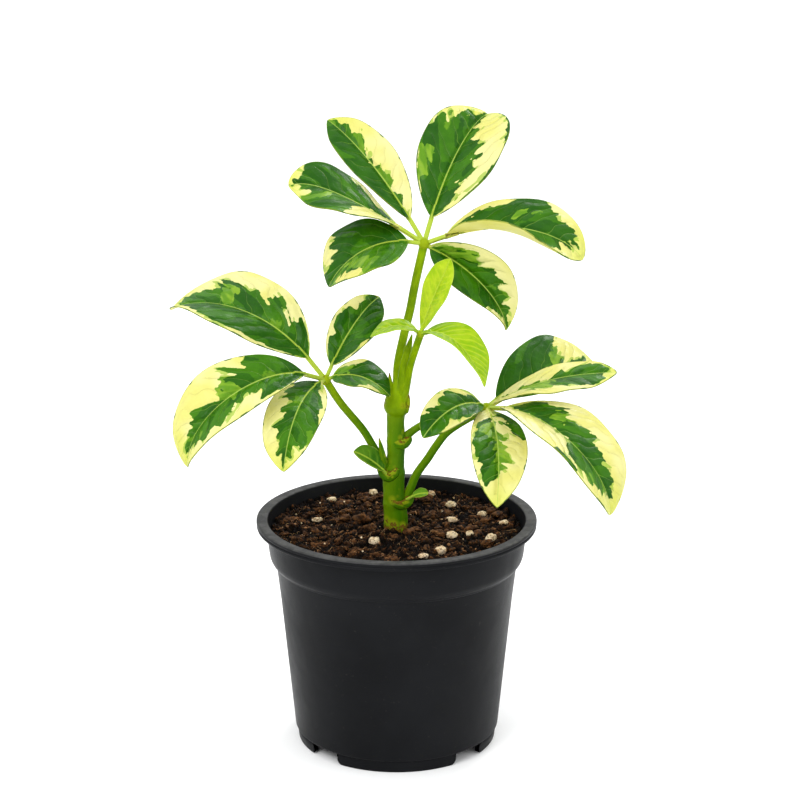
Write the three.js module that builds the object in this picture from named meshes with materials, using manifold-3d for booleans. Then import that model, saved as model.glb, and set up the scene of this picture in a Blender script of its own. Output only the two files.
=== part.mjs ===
// A young dwarf umbrella plant with variegated leaves in a black nursery pot.
// Millimetres, +Z up. The origin is the middle of the pot's footprint, on the
// surface that the pot stands on. The front of the plant faces -Y.

import * as THREE from "three";
import { mergeVertices } from "three/addons/utils/BufferGeometryUtils.js";
import Module from "manifold-3d";

// ---------------------------------------------------------------- dimensions

const GAP = 0.3; // clearance between neighbouring pieces

// Pot: the outside as [radius, height], from the foot to the rim.
const RIM_HEIGHT = 89.5;
const RIM_RADIUS = 54;
const RIM_ROUND = 0.9; // rounding of the rim's outer edges
const MOUTH_RADIUS = 49.7;
const MOUTH_ROUND = 0.65;
const LIP_DROP = 3;
const COLLAR_TOP_RADIUS = 50;
const COLLAR_FOOT = [48.3, 73];
const STEP_SLOPE = [1.4, 2.6]; // out and up from the step's foot, before it steepens
const STEP_FOOT = [45.9, 66.5];
const WALL_FOOT = [39.9, 5.4];
const WALL_GROOVE = 0.2; // how far the wall's lower edge is drawn in
const FOOT_RADIUS = 38.7;
const FOOT_FLARE = 0.6;
const FOOT_HEIGHT = 5;
const FOOT_WALL = 2;
const WALL = 1.3;
const FLOOR_TOP = 6.8;
const NOTCH_WIDTH = 12.5;
const NOTCH_HEIGHT = 4.6;
const NOTCH_ROUND = 2.5; // how high the rounding of a foot's lower corners reaches
const DRAIN_REACH = 11; // how far a notch runs in under the floor as a drain slot
const POT_SIDES = 48;

// Soil and the pale grains that lie in it.
const SOIL_LEVEL = 84.6;
const SOIL_RINGS = [8, 15, 22, 29, 36, 42];
const SOIL_SIDES = 40;
const SOIL_LUMP = 0.54;
const SOIL_MOUND = 0.9; // how far the soil rises round the trunk
const SOIL_MOUND_RADIUS = 13.4;
const SOIL_EDGE_DROP = 1.2;
const GRAIN_FLATTENING = [0.88, 0.85]; // how wide and how high a grain is, in radii
const GRAIN_SINK = 0.25; // how far a grain's middle stands above the soil, in radii
// Each grain: where it lies across the pot, its radius, how many times longer than
// wide it is, and how its long side is turned, in degrees.
const GRAINS = [
  { x: -8.5, y: -16.5, radius: 2.1, long: 1, turn: 0 },
  { x: 16.5, y: -27.5, radius: 2.2, long: 1, turn: 30 },
  { x: 21, y: -8.5, radius: 1.9, long: 1.2, turn: -15 },
  { x: 36, y: -13.5, radius: 1.85, long: 1.15, turn: 20 },
  { x: 28, y: -8.5, radius: 1.3, long: 1.2, turn: 10 },
  { x: 33.5, y: 15.5, radius: 1.4, long: 1.3, turn: 0 },
  { x: 41.5, y: 3, radius: 1.3, long: 1.6, turn: 25 },
  { x: 21.5, y: 7.5, radius: 1.35, long: 1.8, turn: -5 },
  { x: 21.5, y: 25.5, radius: 1.7, long: 1.25, turn: -20 },
  { x: 14, y: 38.5, radius: 1.6, long: 1, turn: 0 },
  { x: -9.5, y: 40, radius: 1.75, long: 1.05, turn: 0 },
  { x: -26, y: 32.5, radius: 1.3, long: 1.5, turn: 5 },
  { x: -31, y: 9, radius: 1.2, long: 1.7, turn: 12 },
  { x: 10, y: -34, radius: 1.3, long: 1.5, turn: 5 },
];

// Trunk: [height, radius] from its foot in the soil to the fork.
const TRUNK_OUTLINE = [
  [60, 3.6], [72, 4.4], [84, 4.8], [92, 4.7], [95, 5.1], [97, 4.6],
  [104, 4.3], [107.5, 4.8], [110, 3.7], [116, 3.4], [119.5, 3.9], [122, 3.4],
  [127.5, 3.4], [130, 4], [133, 5], [136, 4.8], [139.5, 4],
];
const TRUNK_TOP = 140.5;
const TRUNK_SIDES = 14;
const TRUNK_SWAY = 0.4; // sideways bow of the trunk at mid height
const SWAY_FROM = 84;
const SWAY_LENGTH = 50;

// Growths on the trunk, each a tapered horn through hand-set points: the bud
// sheath, the stipules left and right of the fork, and the one by the left leaf.
const TRUNK_GROWTHS = [
  { radius: 1.5, points: [[2, -1.8, 136], [2.3, -4.1, 144.5], [2.9, -4.9, 149.5], [3.9, -5.5, 155], [5.7, -6.3, 162]] },
  { radius: 0.8, points: [[-1.2, -1.5, 136], [-2, -1.6, 141], [-2.4, -1.2, 146.4]] },
  { radius: 0.7, points: [[4, -2.6, 131], [4.9, -2.8, 134], [5.3, -2.6, 137.5]] },
  { radius: 1, points: [[-3, -1.6, 107], [-4.8, -3, 113], [-6.7, -3.2, 122]] },
];
const GROWTH_SIDES = 6;

// Leaf hubs, where the leaflets of one leaf meet. The small leaves sit on the trunk.
const HUBS = {
  top: [10.2, -4, 197],
  left: [-26.8, -2, 144.3],
  right: [34.2, 2, 132.2],
  young: [8.9, -15, 165.4],
  small_left: [-3, -3.4, 106.5],
  small_right: [3.6, -3, 97],
};

// Leaf stalks, each with the middle line that it follows to its hub. The side
// shoot has none, and ends in a bud.
const STALKS = [
  {
    name: "petiole_top", hub: "top", radius: 1.6, hubRadius: 2.2,
    points: [[0.6, 0.4, 136], [0.4, 0.3, 142], [0.6, 0, 150], [2.9, -0.8, 162], [5.1, -1.8, 171.5], [6.8, -2.8, 181], HUBS.top],
  },
  {
    name: "petiole_young", hub: "young", radius: 1.4, hubRadius: 1.55,
    points: [[2.5, -1.6, 136], [3.8, -3.6, 143], [5.1, -7.2, 151], [6.9, -11, 158.2], HUBS.young],
  },
  {
    name: "petiole_left", hub: "left", radius: 1.5, hubRadius: 2.1,
    points: [[-0.4, 0, 103], [-4.3, -0.2, 109], [-9.1, -0.6, 118], [-12.5, -0.9, 124], [-21.4, -1.6, 135.5], HUBS.left],
  },
  {
    name: "petiole_right", hub: "right", radius: 1.55, hubRadius: 2.1,
    points: [[0, 0, 91], [4.2, 0.1, 98], [7.5, 0.3, 106], [12, 0.6, 112.6], [15.2, 0.8, 117.6], [19.5, 1.1, 123], HUBS.right],
  },
  {
    name: "side_shoot", radius: 1.3,
    points: [[-0.2, 0.3, 116], [3.6, 0.6, 121.3], [9, 1, 125.4], [13, 1.5, 127.2], [17, 2, 129.6]],
  },
];
const STALK_SIDES = 8;
const STALK_FLARE = 0.35; // how much a stalk widens at its foot
const BUD_FROM = 0.7; // where along the side shoot its bud begins
const BUD_SWELL = 1.15;

// Every leaflet leaves its hub along a bearing (degrees, 0 is +X, 90 is +Y) and
// a rise above level, and by its tip has turned and drooped by the angles given,
// with the tip's own hook on top. `left` and `right` are the half widths as seen
// looking from hub to tip with the upper face up, `widest` is how far along that
// is, `roll` turns the blade about its midrib and `twist` adds to it from end to
// end. The cups are the angles that each half is folded up by, at base and tip.
const LEAFLETS = [
  {
    name: "leaflet_top_1", hub: "top", bearing: 138, rise: 49, turn: 4, droop: 17, hook: 8,
    stalk: 11, length: 52.5, left: 9, right: 10.5, widest: 0.56,
    roll: 28, twist: 11, cupLeft: [20, 3], cupRight: [12, 11],
  },
  {
    name: "leaflet_top_2", hub: "top", bearing: 178, rise: 33, turn: 5, droop: 13, hook: 39,
    stalk: 11, length: 44.5, left: 15.5, right: 13, widest: 0.59,
    roll: 25, twist: 27, cupLeft: [21, 8], cupRight: [-6, 12],
  },
  {
    name: "leaflet_top_3", hub: "top", bearing: 203, rise: 11, turn: -17, droop: 75, hook: 2,
    stalk: 6.5, length: 36.5, left: 15.5, right: 15.5, widest: 0.56,
    roll: 22, twist: -19, cupLeft: [0, 14], cupRight: [11, 11],
  },
  {
    name: "leaflet_top_4", hub: "top", bearing: 59, rise: 58, turn: -7, droop: 26, hook: 21,
    stalk: 10.5, length: 52, left: 15, right: 20.5, widest: 0.61,
    roll: -13, twist: 5, cupLeft: [15, 25], cupRight: [11, 24],
  },
  {
    name: "leaflet_top_5", hub: "top", bearing: -3, rise: 20, turn: 1, droop: 52, hook: 25,
    stalk: 8.5, length: 54.5, left: 15, right: 12.5, widest: 0.59,
    roll: -27, twist: -7, cupLeft: [15, 10], cupRight: [55, -1], bellyRight: 0.6,
  },
  {
    name: "leaflet_top_6", hub: "top", bearing: -7, rise: -25, turn: 21, droop: 41, hook: 19,
    stalk: 2.5, length: 44.5, left: 12.5, right: 9, widest: 0.44,
    roll: -71, twist: 40, cupLeft: [47, 23], cupRight: [21, 30],
  },
  {
    name: "leaflet_left_1", hub: "left", bearing: 155, rise: 46, turn: 11, droop: 59, hook: 15,
    stalk: 10.5, length: 62, left: 16.5, right: 19, widest: 0.62,
    roll: 23, twist: -40, cupLeft: [2, 17], cupRight: [17, 10],
  },
  {
    name: "leaflet_left_2", hub: "left", bearing: 233, rise: 21, turn: -52, droop: 95, hook: 18,
    stalk: 13, length: 67, left: 12, right: 14.5, widest: 0.65,
    roll: 32, twist: -25, cupLeft: [6, 15], cupRight: [19, 11],
  },
  {
    name: "leaflet_left_3", hub: "left", bearing: 247, rise: 2, turn: 14, droop: 60, hook: -2,
    stalk: 4.5, length: 50, left: 10.5, right: 11, widest: 0.54,
    roll: 6, twist: -19, cupLeft: [-6, 16], cupRight: [3, 11],
  },
  {
    name: "leaflet_left_4", hub: "left", bearing: 52, rise: 52, turn: -12, droop: 17, hook: 17,
    stalk: 6, length: 34.5, left: 8.5, right: 10.5, widest: 0.55,
    roll: -20, twist: -9, cupLeft: [11, 12], cupRight: [11, 6],
  },
  {
    name: "leaflet_left_5", hub: "left", bearing: -20, rise: 24, turn: 12, droop: 80, hook: -8,
    stalk: 3, length: 25, left: 9.5, right: 10.5, widest: 0.52,
    roll: -13, twist: 23, cupLeft: [13, 13], cupRight: [10, 10],
  },
  {
    name: "leaflet_right_1", hub: "right", bearing: 231, rise: 28, turn: -11, droop: 77, hook: -4,
    stalk: 3, length: 35.5, left: 8, right: 8, widest: 0.53,
    roll: 33, twist: -4, cupLeft: [9, 14], cupRight: [15, 17],
  },
  {
    name: "leaflet_right_2", hub: "right", bearing: 29, rise: 30, turn: 15, droop: 51, hook: 3,
    stalk: 5, length: 54.5, left: 16, right: 9, widest: 0.60,
    roll: -25, twist: 6, cupLeft: [18, 14], cupRight: [-50, 0],
  },
  {
    name: "leaflet_right_3", hub: "right", bearing: -2, rise: 32, turn: -16, droop: 32, hook: -8,
    stalk: 3.5, length: 49, left: 9, right: 14.5, widest: 0.55,
    roll: -12, twist: -16, cupLeft: [10, 10], cupRight: [13, 2],
  },
  {
    name: "leaflet_right_4", hub: "right", bearing: -54, rise: 12, turn: 32, droop: 81, hook: 20,
    stalk: 9.5, length: 67.5, left: 18.5, right: 16, widest: 0.59,
    roll: -2, twist: -2, cupLeft: [16, 10], cupRight: [17, 9],
  },
  {
    name: "leaflet_right_5", hub: "right", bearing: -79, rise: -6, turn: -19, droop: 42, hook: -2,
    stalk: 2.5, length: 53, left: 11, right: 10.5, widest: 0.51,
    roll: 3, twist: -2, cupLeft: [6, 16], cupRight: [7, 16],
  },
  {
    name: "leaflet_young_1", hub: "young", bearing: -16, rise: 73, turn: 0, droop: 12, hook: -13,
    stalk: 1, length: 30, left: 6, right: 7.5, widest: 0.61,
    roll: -52, twist: -19, cupLeft: [12, 28], cupRight: [9, 15],
  },
  {
    name: "leaflet_young_2", hub: "young", bearing: 194, rise: 37, turn: -11, droop: 85, hook: -8,
    stalk: 1.5, length: 19, left: 7, right: 5.5, widest: 0.56,
    roll: 7, twist: -13, cupLeft: [12, 6], cupRight: [17, 3],
  },
  {
    name: "leaflet_young_3", hub: "young", bearing: -49, rise: 21, turn: 14, droop: 103, hook: -23,
    stalk: 2.5, length: 36.5, left: 10.5, right: 7, widest: 0.54,
    roll: 4, twist: 32, cupLeft: [22, 9], cupRight: [12, 20],
  },
  {
    name: "small_leaf_left", hub: "small_left", bearing: 196, rise: 50, turn: -4, droop: 27, hook: 0,
    stalk: 2.8, length: 15, left: 2.6, right: 5, widest: 0.56,
    roll: 50, twist: -4, cupLeft: [12, 9], cupRight: [17, 11],
  },
  {
    name: "small_leaf_right", hub: "small_right", bearing: -7, rise: 30, turn: 1, droop: 33, hook: 0,
    stalk: 2.7, length: 6.5, left: 2.5, right: 2, widest: 0.57,
    roll: -30, twist: 0, cupLeft: [14, 12], cupRight: [12, 12],
  },
];
const BLADE_THICKNESS = 0.7;
const RIB_RADIUS = 0.95; // at the hub; it thins to nothing at the tip
const BLADE_STATIONS = 10;
const STALK_STATIONS = 2;
const BLADE_COLUMNS = [-1, -0.55, -0.12, 0, 0.12, 0.55, 1];
const FULLNESS = 1.4; // sum of the two exponents of the blade outline
const BELLY = -0.1; // how far a half bulges (-) or sags (+) between rib and margin
const MARGIN_WAVE = 0.035;
const MARGIN_WAVES = 2.5;
const WAVE_SHIFT = 1.7; // sets each leaflet's waves apart from the last one's
const TIP_HALF_WIDTH = 0.45;
const ROOM_REACH = 1.5; // how far past a stalk its neighbours keep clear of it
const WALK_STEPS = 60;

// ------------------------------------------------------------------ materials

const materials = {
  pot: new THREE.MeshStandardMaterial({ color: 0x242426, roughness: 0.45, metalness: 0 }),
  soil: new THREE.MeshStandardMaterial({ color: 0x3a2414, roughness: 0.95, metalness: 0 }),
  grain: new THREE.MeshStandardMaterial({ color: 0xd8c8ae, roughness: 0.9, metalness: 0 }),
  stem: new THREE.MeshStandardMaterial({ color: 0x5f9a12, roughness: 0.45, metalness: 0 }),
  leaf: new THREE.MeshStandardMaterial({ color: 0x3f7d1e, roughness: 0.35, metalness: 0 }),
  youngLeaf: new THREE.MeshStandardMaterial({ color: 0xa4c418, roughness: 0.35, metalness: 0 }),
};

// ------------------------------------------------------------- solid toolbox

const wasm = await Module();
wasm.setup();

function welded(geometry) {
  const bare = geometry.clone();
  bare.deleteAttribute("normal");
  bare.deleteAttribute("uv");
  const merged = mergeVertices(bare, 1e-4);
  const index = merged.index.array;
  const kept = [];
  for (let i = 0; i < index.length; i += 3) {
    const [a, b, c] = [index[i], index[i + 1], index[i + 2]];
    if (a !== b && b !== c && c !== a) kept.push(a, b, c);
  }
  merged.setIndex(kept);
  return merged;
}

function toSolid(geometry) {
  const merged = welded(geometry);
  const vertProperties = new Float32Array(merged.attributes.position.array);
  const triVerts = new Uint32Array(merged.index.array);
  return new wasm.Manifold(new wasm.Mesh({ numProp: 3, vertProperties, triVerts }));
}

function toGeometry(solid) {
  const { vertProperties, triVerts } = solid.getMesh();
  const geometry = new THREE.BufferGeometry();
  geometry.setAttribute("position", new THREE.BufferAttribute(new Float32Array(vertProperties), 3));
  geometry.setIndex(new THREE.BufferAttribute(new Uint32Array(triVerts), 1));
  geometry.computeVertexNormals();
  return geometry;
}

function named(name, geometry, material) {
  const mesh = new THREE.Mesh(geometry, material);
  mesh.name = name;
  return mesh;
}

// A lathe profile of [radius, height] pairs, turned about +Z.
function turned(profile, sides) {
  const points = profile.map(([radius, height]) => new THREE.Vector2(radius, height));
  return new THREE.LatheGeometry(points, sides).rotateX(Math.PI / 2);
}

// A closed cylinder bent along a curve, with a radius for each share of its way.
function rod(points, radiusAt, sides, steps) {
  const curve = new THREE.CatmullRomCurve3(points.map((p) => new THREE.Vector3(...p)));
  const frames = curve.computeFrenetFrames(steps);
  const geometry = new THREE.CylinderGeometry(1, 1, 1, sides, steps);
  const position = geometry.attributes.position;
  const place = new THREE.Vector3();
  for (let i = 0; i < position.count; i++) {
    const step = Math.round((position.getY(i) + 0.5) * steps);
    const radius = radiusAt(step / steps);
    place.copy(curve.getPointAt(step / steps));
    place.addScaledVector(frames.normals[step], position.getX(i) * radius);
    place.addScaledVector(frames.binormals[step], -position.getZ(i) * radius);
    position.setXYZ(i, place.x, place.y, place.z);
  }
  return geometry;
}

// ------------------------------------------------------------------------ pot

function potProfile() {
  const lipHeight = RIM_HEIGHT - LIP_DROP;
  return [
    [0, FLOOR_TOP - WALL],
    [FOOT_RADIUS - FOOT_WALL, FLOOR_TOP - WALL],
    [FOOT_RADIUS - FOOT_WALL, 0],
    [FOOT_RADIUS, 0],
    [FOOT_RADIUS + FOOT_FLARE, FOOT_HEIGHT],
    [WALL_FOOT[0] - WALL_GROOVE, FOOT_HEIGHT],
    WALL_FOOT,
    STEP_FOOT,
    [STEP_FOOT[0] + STEP_SLOPE[0], STEP_FOOT[1] + STEP_SLOPE[1]],
    COLLAR_FOOT,
    [COLLAR_TOP_RADIUS, lipHeight],
    [RIM_RADIUS - RIM_ROUND, lipHeight],
    [RIM_RADIUS, lipHeight + RIM_ROUND],
    [RIM_RADIUS, RIM_HEIGHT - RIM_ROUND],
    [RIM_RADIUS - RIM_ROUND, RIM_HEIGHT],
    [MOUTH_RADIUS + MOUTH_ROUND, RIM_HEIGHT],
    [MOUTH_RADIUS, RIM_HEIGHT - MOUTH_ROUND],
    [COLLAR_FOOT[0] - WALL, COLLAR_FOOT[1]],
    [STEP_FOOT[0] - WALL, STEP_FOOT[1]],
    [WALL_FOOT[0] - WALL, FLOOR_TOP],
    [0, FLOOR_TOP],
  ];
}

// A notch through the foot ring with a rounded roof, running in as a drain slot.
function notchCutter() {
  const half = NOTCH_WIDTH / 2;
  const shape = new THREE.Shape();
  shape.moveTo(-half - 1, -1);
  shape.lineTo(half + 1, -1);
  shape.quadraticCurveTo(half, NOTCH_ROUND / 4, half, NOTCH_ROUND);
  shape.lineTo(half, NOTCH_HEIGHT);
  shape.lineTo(-half, NOTCH_HEIGHT);
  shape.lineTo(-half, NOTCH_ROUND);
  shape.quadraticCurveTo(-half, NOTCH_ROUND / 4, -half - 1, -1);
  const depth = 4 * FOOT_WALL;
  const cutter = new THREE.ExtrudeGeometry(shape, { depth, bevelEnabled: false, curveSegments: 3 });
  cutter.rotateX(Math.PI / 2);
  cutter.translate(0, FOOT_RADIUS + FOOT_WALL, 0);
  return cutter;
}

function drainCutter() {
  const slot = new THREE.BoxGeometry(NOTCH_WIDTH - FOOT_WALL, DRAIN_REACH, 3 * WALL);
  slot.translate(0, FOOT_RADIUS - FOOT_WALL - 1 - DRAIN_REACH / 2, FLOOR_TOP - WALL / 2);
  return slot;
}

function potSolid() {
  let pot = toSolid(turned(potProfile(), POT_SIDES));
  for (let quarter = 0; quarter < 4; quarter++) {
    const turn = THREE.MathUtils.degToRad(45 + 90 * quarter);
    for (const cutter of [notchCutter(), drainCutter()]) {
      pot = pot.subtract(toSolid(cutter.rotateZ(turn)));
    }
  }
  return pot;
}

// -------------------------------------------------------------- trunk, stalks

function trunkLean(height) {
  return height > SWAY_FROM ? -TRUNK_SWAY * Math.sin(((height - SWAY_FROM) / SWAY_LENGTH) * Math.PI) : 0;
}

// The trunk with its growths, swollen by `spare` to cut the holes it stands in.
function trunkSolid(spare) {
  const profile = TRUNK_OUTLINE.map(([height, radius]) => [radius + spare, height]);
  profile[0][1] -= spare;
  const trunk = turned([[0, TRUNK_OUTLINE[0][0] - spare], ...profile, [0, TRUNK_TOP + spare]], TRUNK_SIDES);
  const position = trunk.attributes.position;
  for (let i = 0; i < position.count; i++) {
    position.setX(i, position.getX(i) + trunkLean(position.getZ(i)));
  }
  let solid = toSolid(trunk);
  for (const growth of TRUNK_GROWTHS) {
    const taper = (share) => (growth.radius + spare) * (1.06 - 0.9 * share * share);
    solid = solid.add(toSolid(rod(growth.points, taper, GROWTH_SIDES, 6)));
  }
  return solid;
}

// The knob at the end of a stalk, swollen by `spare` to cut its room in leaflets.
function knobSolid(stalk, spare) {
  const knob = new THREE.IcosahedronGeometry(stalk.hubRadius + spare, 1);
  return toSolid(knob.translate(...HUBS[stalk.hub]));
}

// A stalk flares a little at its foot, and ends in its hub or a pointed bud.
function stalkSolid(stalk, trunkRoom) {
  const flared = (share) => 1 + STALK_FLARE * (1 - share) ** 6;
  const budded = (share) => BUD_SWELL * Math.sqrt(1.02 - (Math.max(share - BUD_FROM, 0) / (1 - BUD_FROM)) ** 2);
  const taper = (share) => stalk.radius * (stalk.hub || share < BUD_FROM ? flared(share) : budded(share));
  let solid = toSolid(rod(stalk.points, taper, STALK_SIDES, stalk.points.length * 2));
  if (stalk.hub) solid = solid.add(knobSolid(stalk, 0));
  return solid.subtract(trunkRoom);
}

// ------------------------------------------------------------------- leaflets

function direction(bearing, rise) {
  const [b, r] = [bearing, rise].map(THREE.MathUtils.degToRad);
  return new THREE.Vector3(Math.cos(r) * Math.cos(b), Math.cos(r) * Math.sin(b), Math.sin(r));
}

// Where the midrib is at a share `v` of the blade, and which way it faces there.
// A negative v lies on the stalk, in shares of the blade's length.
function ribFrame(leaflet, v) {
  const share = Math.max(v, 0);
  const bearing = leaflet.bearing + leaflet.turn * share;
  const rise = leaflet.rise - leaflet.droop * share - leaflet.hook * share ** 6;
  const ahead = direction(bearing, rise);
  const across = direction(bearing - 90, 0);
  const up = new THREE.Vector3().crossVectors(across, ahead);
  const roll = THREE.MathUtils.degToRad(leaflet.roll + leaflet.twist * (share - 0.5));
  const side = across.clone().multiplyScalar(Math.cos(roll)).addScaledVector(up, Math.sin(roll));
  const face = up.clone().multiplyScalar(Math.cos(roll)).addScaledVector(across, -Math.sin(roll));
  return { ahead, side, face };
}

function ribPoint(leaflet, v) {
  const start = direction(leaflet.bearing, leaflet.rise);
  const point = new THREE.Vector3(...HUBS[leaflet.hub]);
  point.addScaledVector(start, leaflet.stalk + Math.min(v, 0) * leaflet.length);
  const steps = Math.round(Math.max(v, 0) * WALK_STEPS);
  const step = steps ? Math.max(v, 0) / steps : 0;
  for (let i = 0; i < steps; i++) {
    point.addScaledVector(ribFrame(leaflet, (i + 0.5) * step).ahead, step * leaflet.length);
  }
  return point;
}

// The outline: narrow at the stalk, widest past the middle, closed at the tip.
function outline(leaflet, v) {
  const base = FULLNESS * leaflet.widest;
  const end = FULLNESS - base;
  const peak = leaflet.widest ** base * (1 - leaflet.widest) ** end;
  return (v ** base * (1 - v) ** end) / peak;
}

function ribRadius(leaflet, v) {
  const slim = Math.min(1, 0.55 + leaflet.length / 100);
  return RIB_RADIUS * slim * (v < 0 ? 1 : 1 - 0.75 * v);
}

// One leaflet is a thin closed slab: its stalk, its blade and the midrib that
// stands out below. Both faces are split into the same triangles.
function leafletGeometry(leaflet, phase) {
  const rows = BLADE_STATIONS + STALK_STATIONS;
  const columns = BLADE_COLUMNS.length - 1;
  const grid = new THREE.PlaneGeometry(1, 1, columns, rows);
  const top = [];
  const bottom = [];
  for (let row = 0; row <= rows; row++) {
    const station = rows - row - STALK_STATIONS;
    const v = station < 0
      ? (station / STALK_STATIONS) * (leaflet.stalk / leaflet.length)
      : 0.5 - 0.5 * Math.cos((Math.PI * station) / BLADE_STATIONS);
    const centre = ribPoint(leaflet, v);
    const { side, face } = ribFrame(leaflet, v);
    const rib = ribRadius(leaflet, v);
    const spread = v > 0 ? outline(leaflet, v) : 0;
    const wave = MARGIN_WAVE * Math.sin(2 * Math.PI * MARGIN_WAVES * v + phase) * (v > 0 ? 1 : 0);
    for (const s of BLADE_COLUMNS) {
      const isRight = s > 0;
      const [cupBase, cupTip] = isRight ? leaflet.cupRight : leaflet.cupLeft;
      const cup = THREE.MathUtils.degToRad(cupBase + (cupTip - cupBase) * Math.max(v, 0));
      const floor = v < 0.5 ? rib : TIP_HALF_WIDTH;
      const half = Math.max((isRight ? leaflet.right : leaflet.left) * spread, floor);
      const reach = Math.abs(s) * half;
      const belly = (isRight && leaflet.bellyRight) || BELLY;
      const fold = spread > 0 ? Math.sin(cup) : 0;
      const level = spread > 0 ? Math.cos(cup) : 1;
      const lift = reach * fold + half * spread * (belly * (s * s - Math.abs(s)) + wave * s * s * (isRight ? 1 : -0.8));
      const middle = centre.clone().addScaledVector(side, Math.sign(s) * reach * level).addScaledVector(face, lift);
      const round = Math.sqrt(Math.max(rib * rib - reach * reach, 0));
      const above = Math.max(BLADE_THICKNESS / 2, v < 0.1 ? round : 0);
      const below = Math.max(BLADE_THICKNESS / 2, round);
      top.push(middle.clone().addScaledVector(face, above));
      bottom.push(middle.clone().addScaledVector(face, -below));
    }
  }
  const faces = Array.from(grid.index.array);
  const offset = top.length;
  const index = [...faces];
  for (let i = 0; i < faces.length; i += 3) {
    index.push(faces[i] + offset, faces[i + 2] + offset, faces[i + 1] + offset);
  }
  const width = columns + 1;
  const border = [];
  for (let c = columns; c > 0; c--) border.push(c);
  for (let r = 0; r < rows; r++) border.push(r * width);
  for (let c = 0; c < columns; c++) border.push(rows * width + c);
  for (let r = rows; r > 0; r--) border.push(r * width + columns);
  border.forEach((a, i) => {
    const b = border[(i + 1) % border.length];
    index.push(a, a + offset, b, b, a + offset, b + offset);
  });
  const geometry = new THREE.BufferGeometry().setFromPoints([...top, ...bottom]);
  geometry.setIndex(index);
  return geometry;
}

// The room that a leaflet's stalk takes up beside its hub, for its neighbours.
function stalkRoom(leaflet) {
  const root = ribPoint(leaflet, -leaflet.stalk / leaflet.length);
  const end = ribPoint(leaflet, ROOM_REACH / leaflet.length);
  const points = [root, root.clone().lerp(end, 0.5), end].map((p) => p.toArray());
  return toSolid(rod(points, () => ribRadius(leaflet, 0) + GAP, STALK_SIDES, 2));
}

function leafletSolid(leaflet, phase, cutters) {
  let solid = toSolid(leafletGeometry(leaflet, phase));
  for (const cutter of cutters) solid = solid.subtract(cutter);
  return solid;
}

// ----------------------------------------------------------------- soil, grains

function soilHeight(x, y) {
  const bumps = Math.sin(0.31 * x + 1.3) * Math.cos(0.27 * y - 0.6) + 0.6 * Math.sin(0.55 * x - 0.48 * y);
  const mound = SOIL_MOUND * Math.exp(-(x * x + y * y) / SOIL_MOUND_RADIUS ** 2);
  return SOIL_LEVEL + SOIL_LUMP * bumps + mound;
}

function wallInside(height) {
  const [lowRadius, low] = [WALL_FOOT[0] - WALL, FLOOR_TOP];
  const [highRadius, high] = [STEP_FOOT[0] - WALL, STEP_FOOT[1]];
  const [collarRadius, collar] = [COLLAR_FOOT[0] - WALL, COLLAR_FOOT[1]];
  if (height <= high) return lowRadius + ((highRadius - lowRadius) * (height - low)) / (high - low);
  if (height <= collar) return highRadius + ((collarRadius - highRadius) * (height - high)) / (collar - high);
  return collarRadius + ((MOUTH_RADIUS - collarRadius) * (height - collar)) / (RIM_HEIGHT - collar);
}

function soilSolid(trunkRoom, grainRooms) {
  const bottom = FLOOR_TOP + GAP;
  const room = 1.5 * GAP;
  const edge = SOIL_LEVEL - SOIL_EDGE_DROP;
  const profile = [
    [0, bottom],
    [wallInside(bottom) - room, bottom],
    [wallInside(STEP_FOOT[1]) - room, STEP_FOOT[1] - GAP],
    [wallInside(COLLAR_FOOT[1]) - room, COLLAR_FOOT[1]],
    [wallInside(edge) - room, edge],
    ...[...SOIL_RINGS].reverse().map((radius) => [radius, SOIL_LEVEL]),
    [0, SOIL_LEVEL],
  ];
  const body = turned(profile, SOIL_SIDES);
  const position = body.attributes.position;
  for (let i = 0; i < position.count; i++) {
    if (position.getZ(i) > (edge + SOIL_LEVEL) / 2) {
      position.setZ(i, soilHeight(position.getX(i), position.getY(i)));
    }
  }
  let soil = toSolid(body).subtract(trunkRoom);
  for (const grainRoom of grainRooms) soil = soil.subtract(grainRoom);
  return soil;
}

// A grain is a rounded pebble, a little flattened, sunk to just under its middle.
function grainGeometry(grain, spare) {
  const radius = grain.radius + spare;
  const shape = new THREE.IcosahedronGeometry(radius, 1);
  shape.scale(grain.long, ...GRAIN_FLATTENING);
  shape.rotateZ(THREE.MathUtils.degToRad(grain.turn));
  shape.translate(grain.x, grain.y, soilHeight(grain.x, grain.y) + GRAIN_SINK * grain.radius);
  return shape;
}

// -------------------------------------------------------------------- assembly

const plant = new THREE.Group();
plant.name = "potted_umbrella_plant";

const trunkRoom = trunkSolid(GAP);
const grainRooms = GRAINS.map((grain) => toSolid(grainGeometry(grain, GAP)));

plant.add(named("pot", toGeometry(potSolid()), materials.pot));
plant.add(named("soil", toGeometry(soilSolid(trunkRoom, grainRooms)), materials.soil));
GRAINS.forEach((grain, i) => {
  const name = `perlite_${String(i + 1).padStart(2, "0")}`;
  plant.add(named(name, welded(grainGeometry(grain, 0)), materials.grain));
});

plant.add(named("trunk", toGeometry(trunkSolid(0)), materials.stem));
for (const stalk of STALKS) {
  plant.add(named(stalk.name, toGeometry(stalkSolid(stalk, trunkRoom)), materials.stem));
}

// Each leaflet leaves room for the knob and the leaflet stalks that came before it.
const rooms = {};
for (const stalk of STALKS.filter(({ hub }) => hub)) rooms[stalk.hub] = [knobSolid(stalk, GAP)];
LEAFLETS.forEach((leaflet, i) => {
  const cutters = rooms[leaflet.hub] ?? [trunkRoom];
  const solid = leafletSolid(leaflet, WAVE_SHIFT * i, cutters);
  cutters.push(stalkRoom(leaflet));
  const material = leaflet.hub === "young" ? materials.youngLeaf : materials.leaf;
  plant.add(named(leaflet.name, toGeometry(solid), material));
});

export default plant;
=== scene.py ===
# A young dwarf umbrella plant with variegated leaves, rooted in a black nursery pot.
# The CAD frame is in metres, +Z up, and the plant's front faces -Y.

import math
import random

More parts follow.
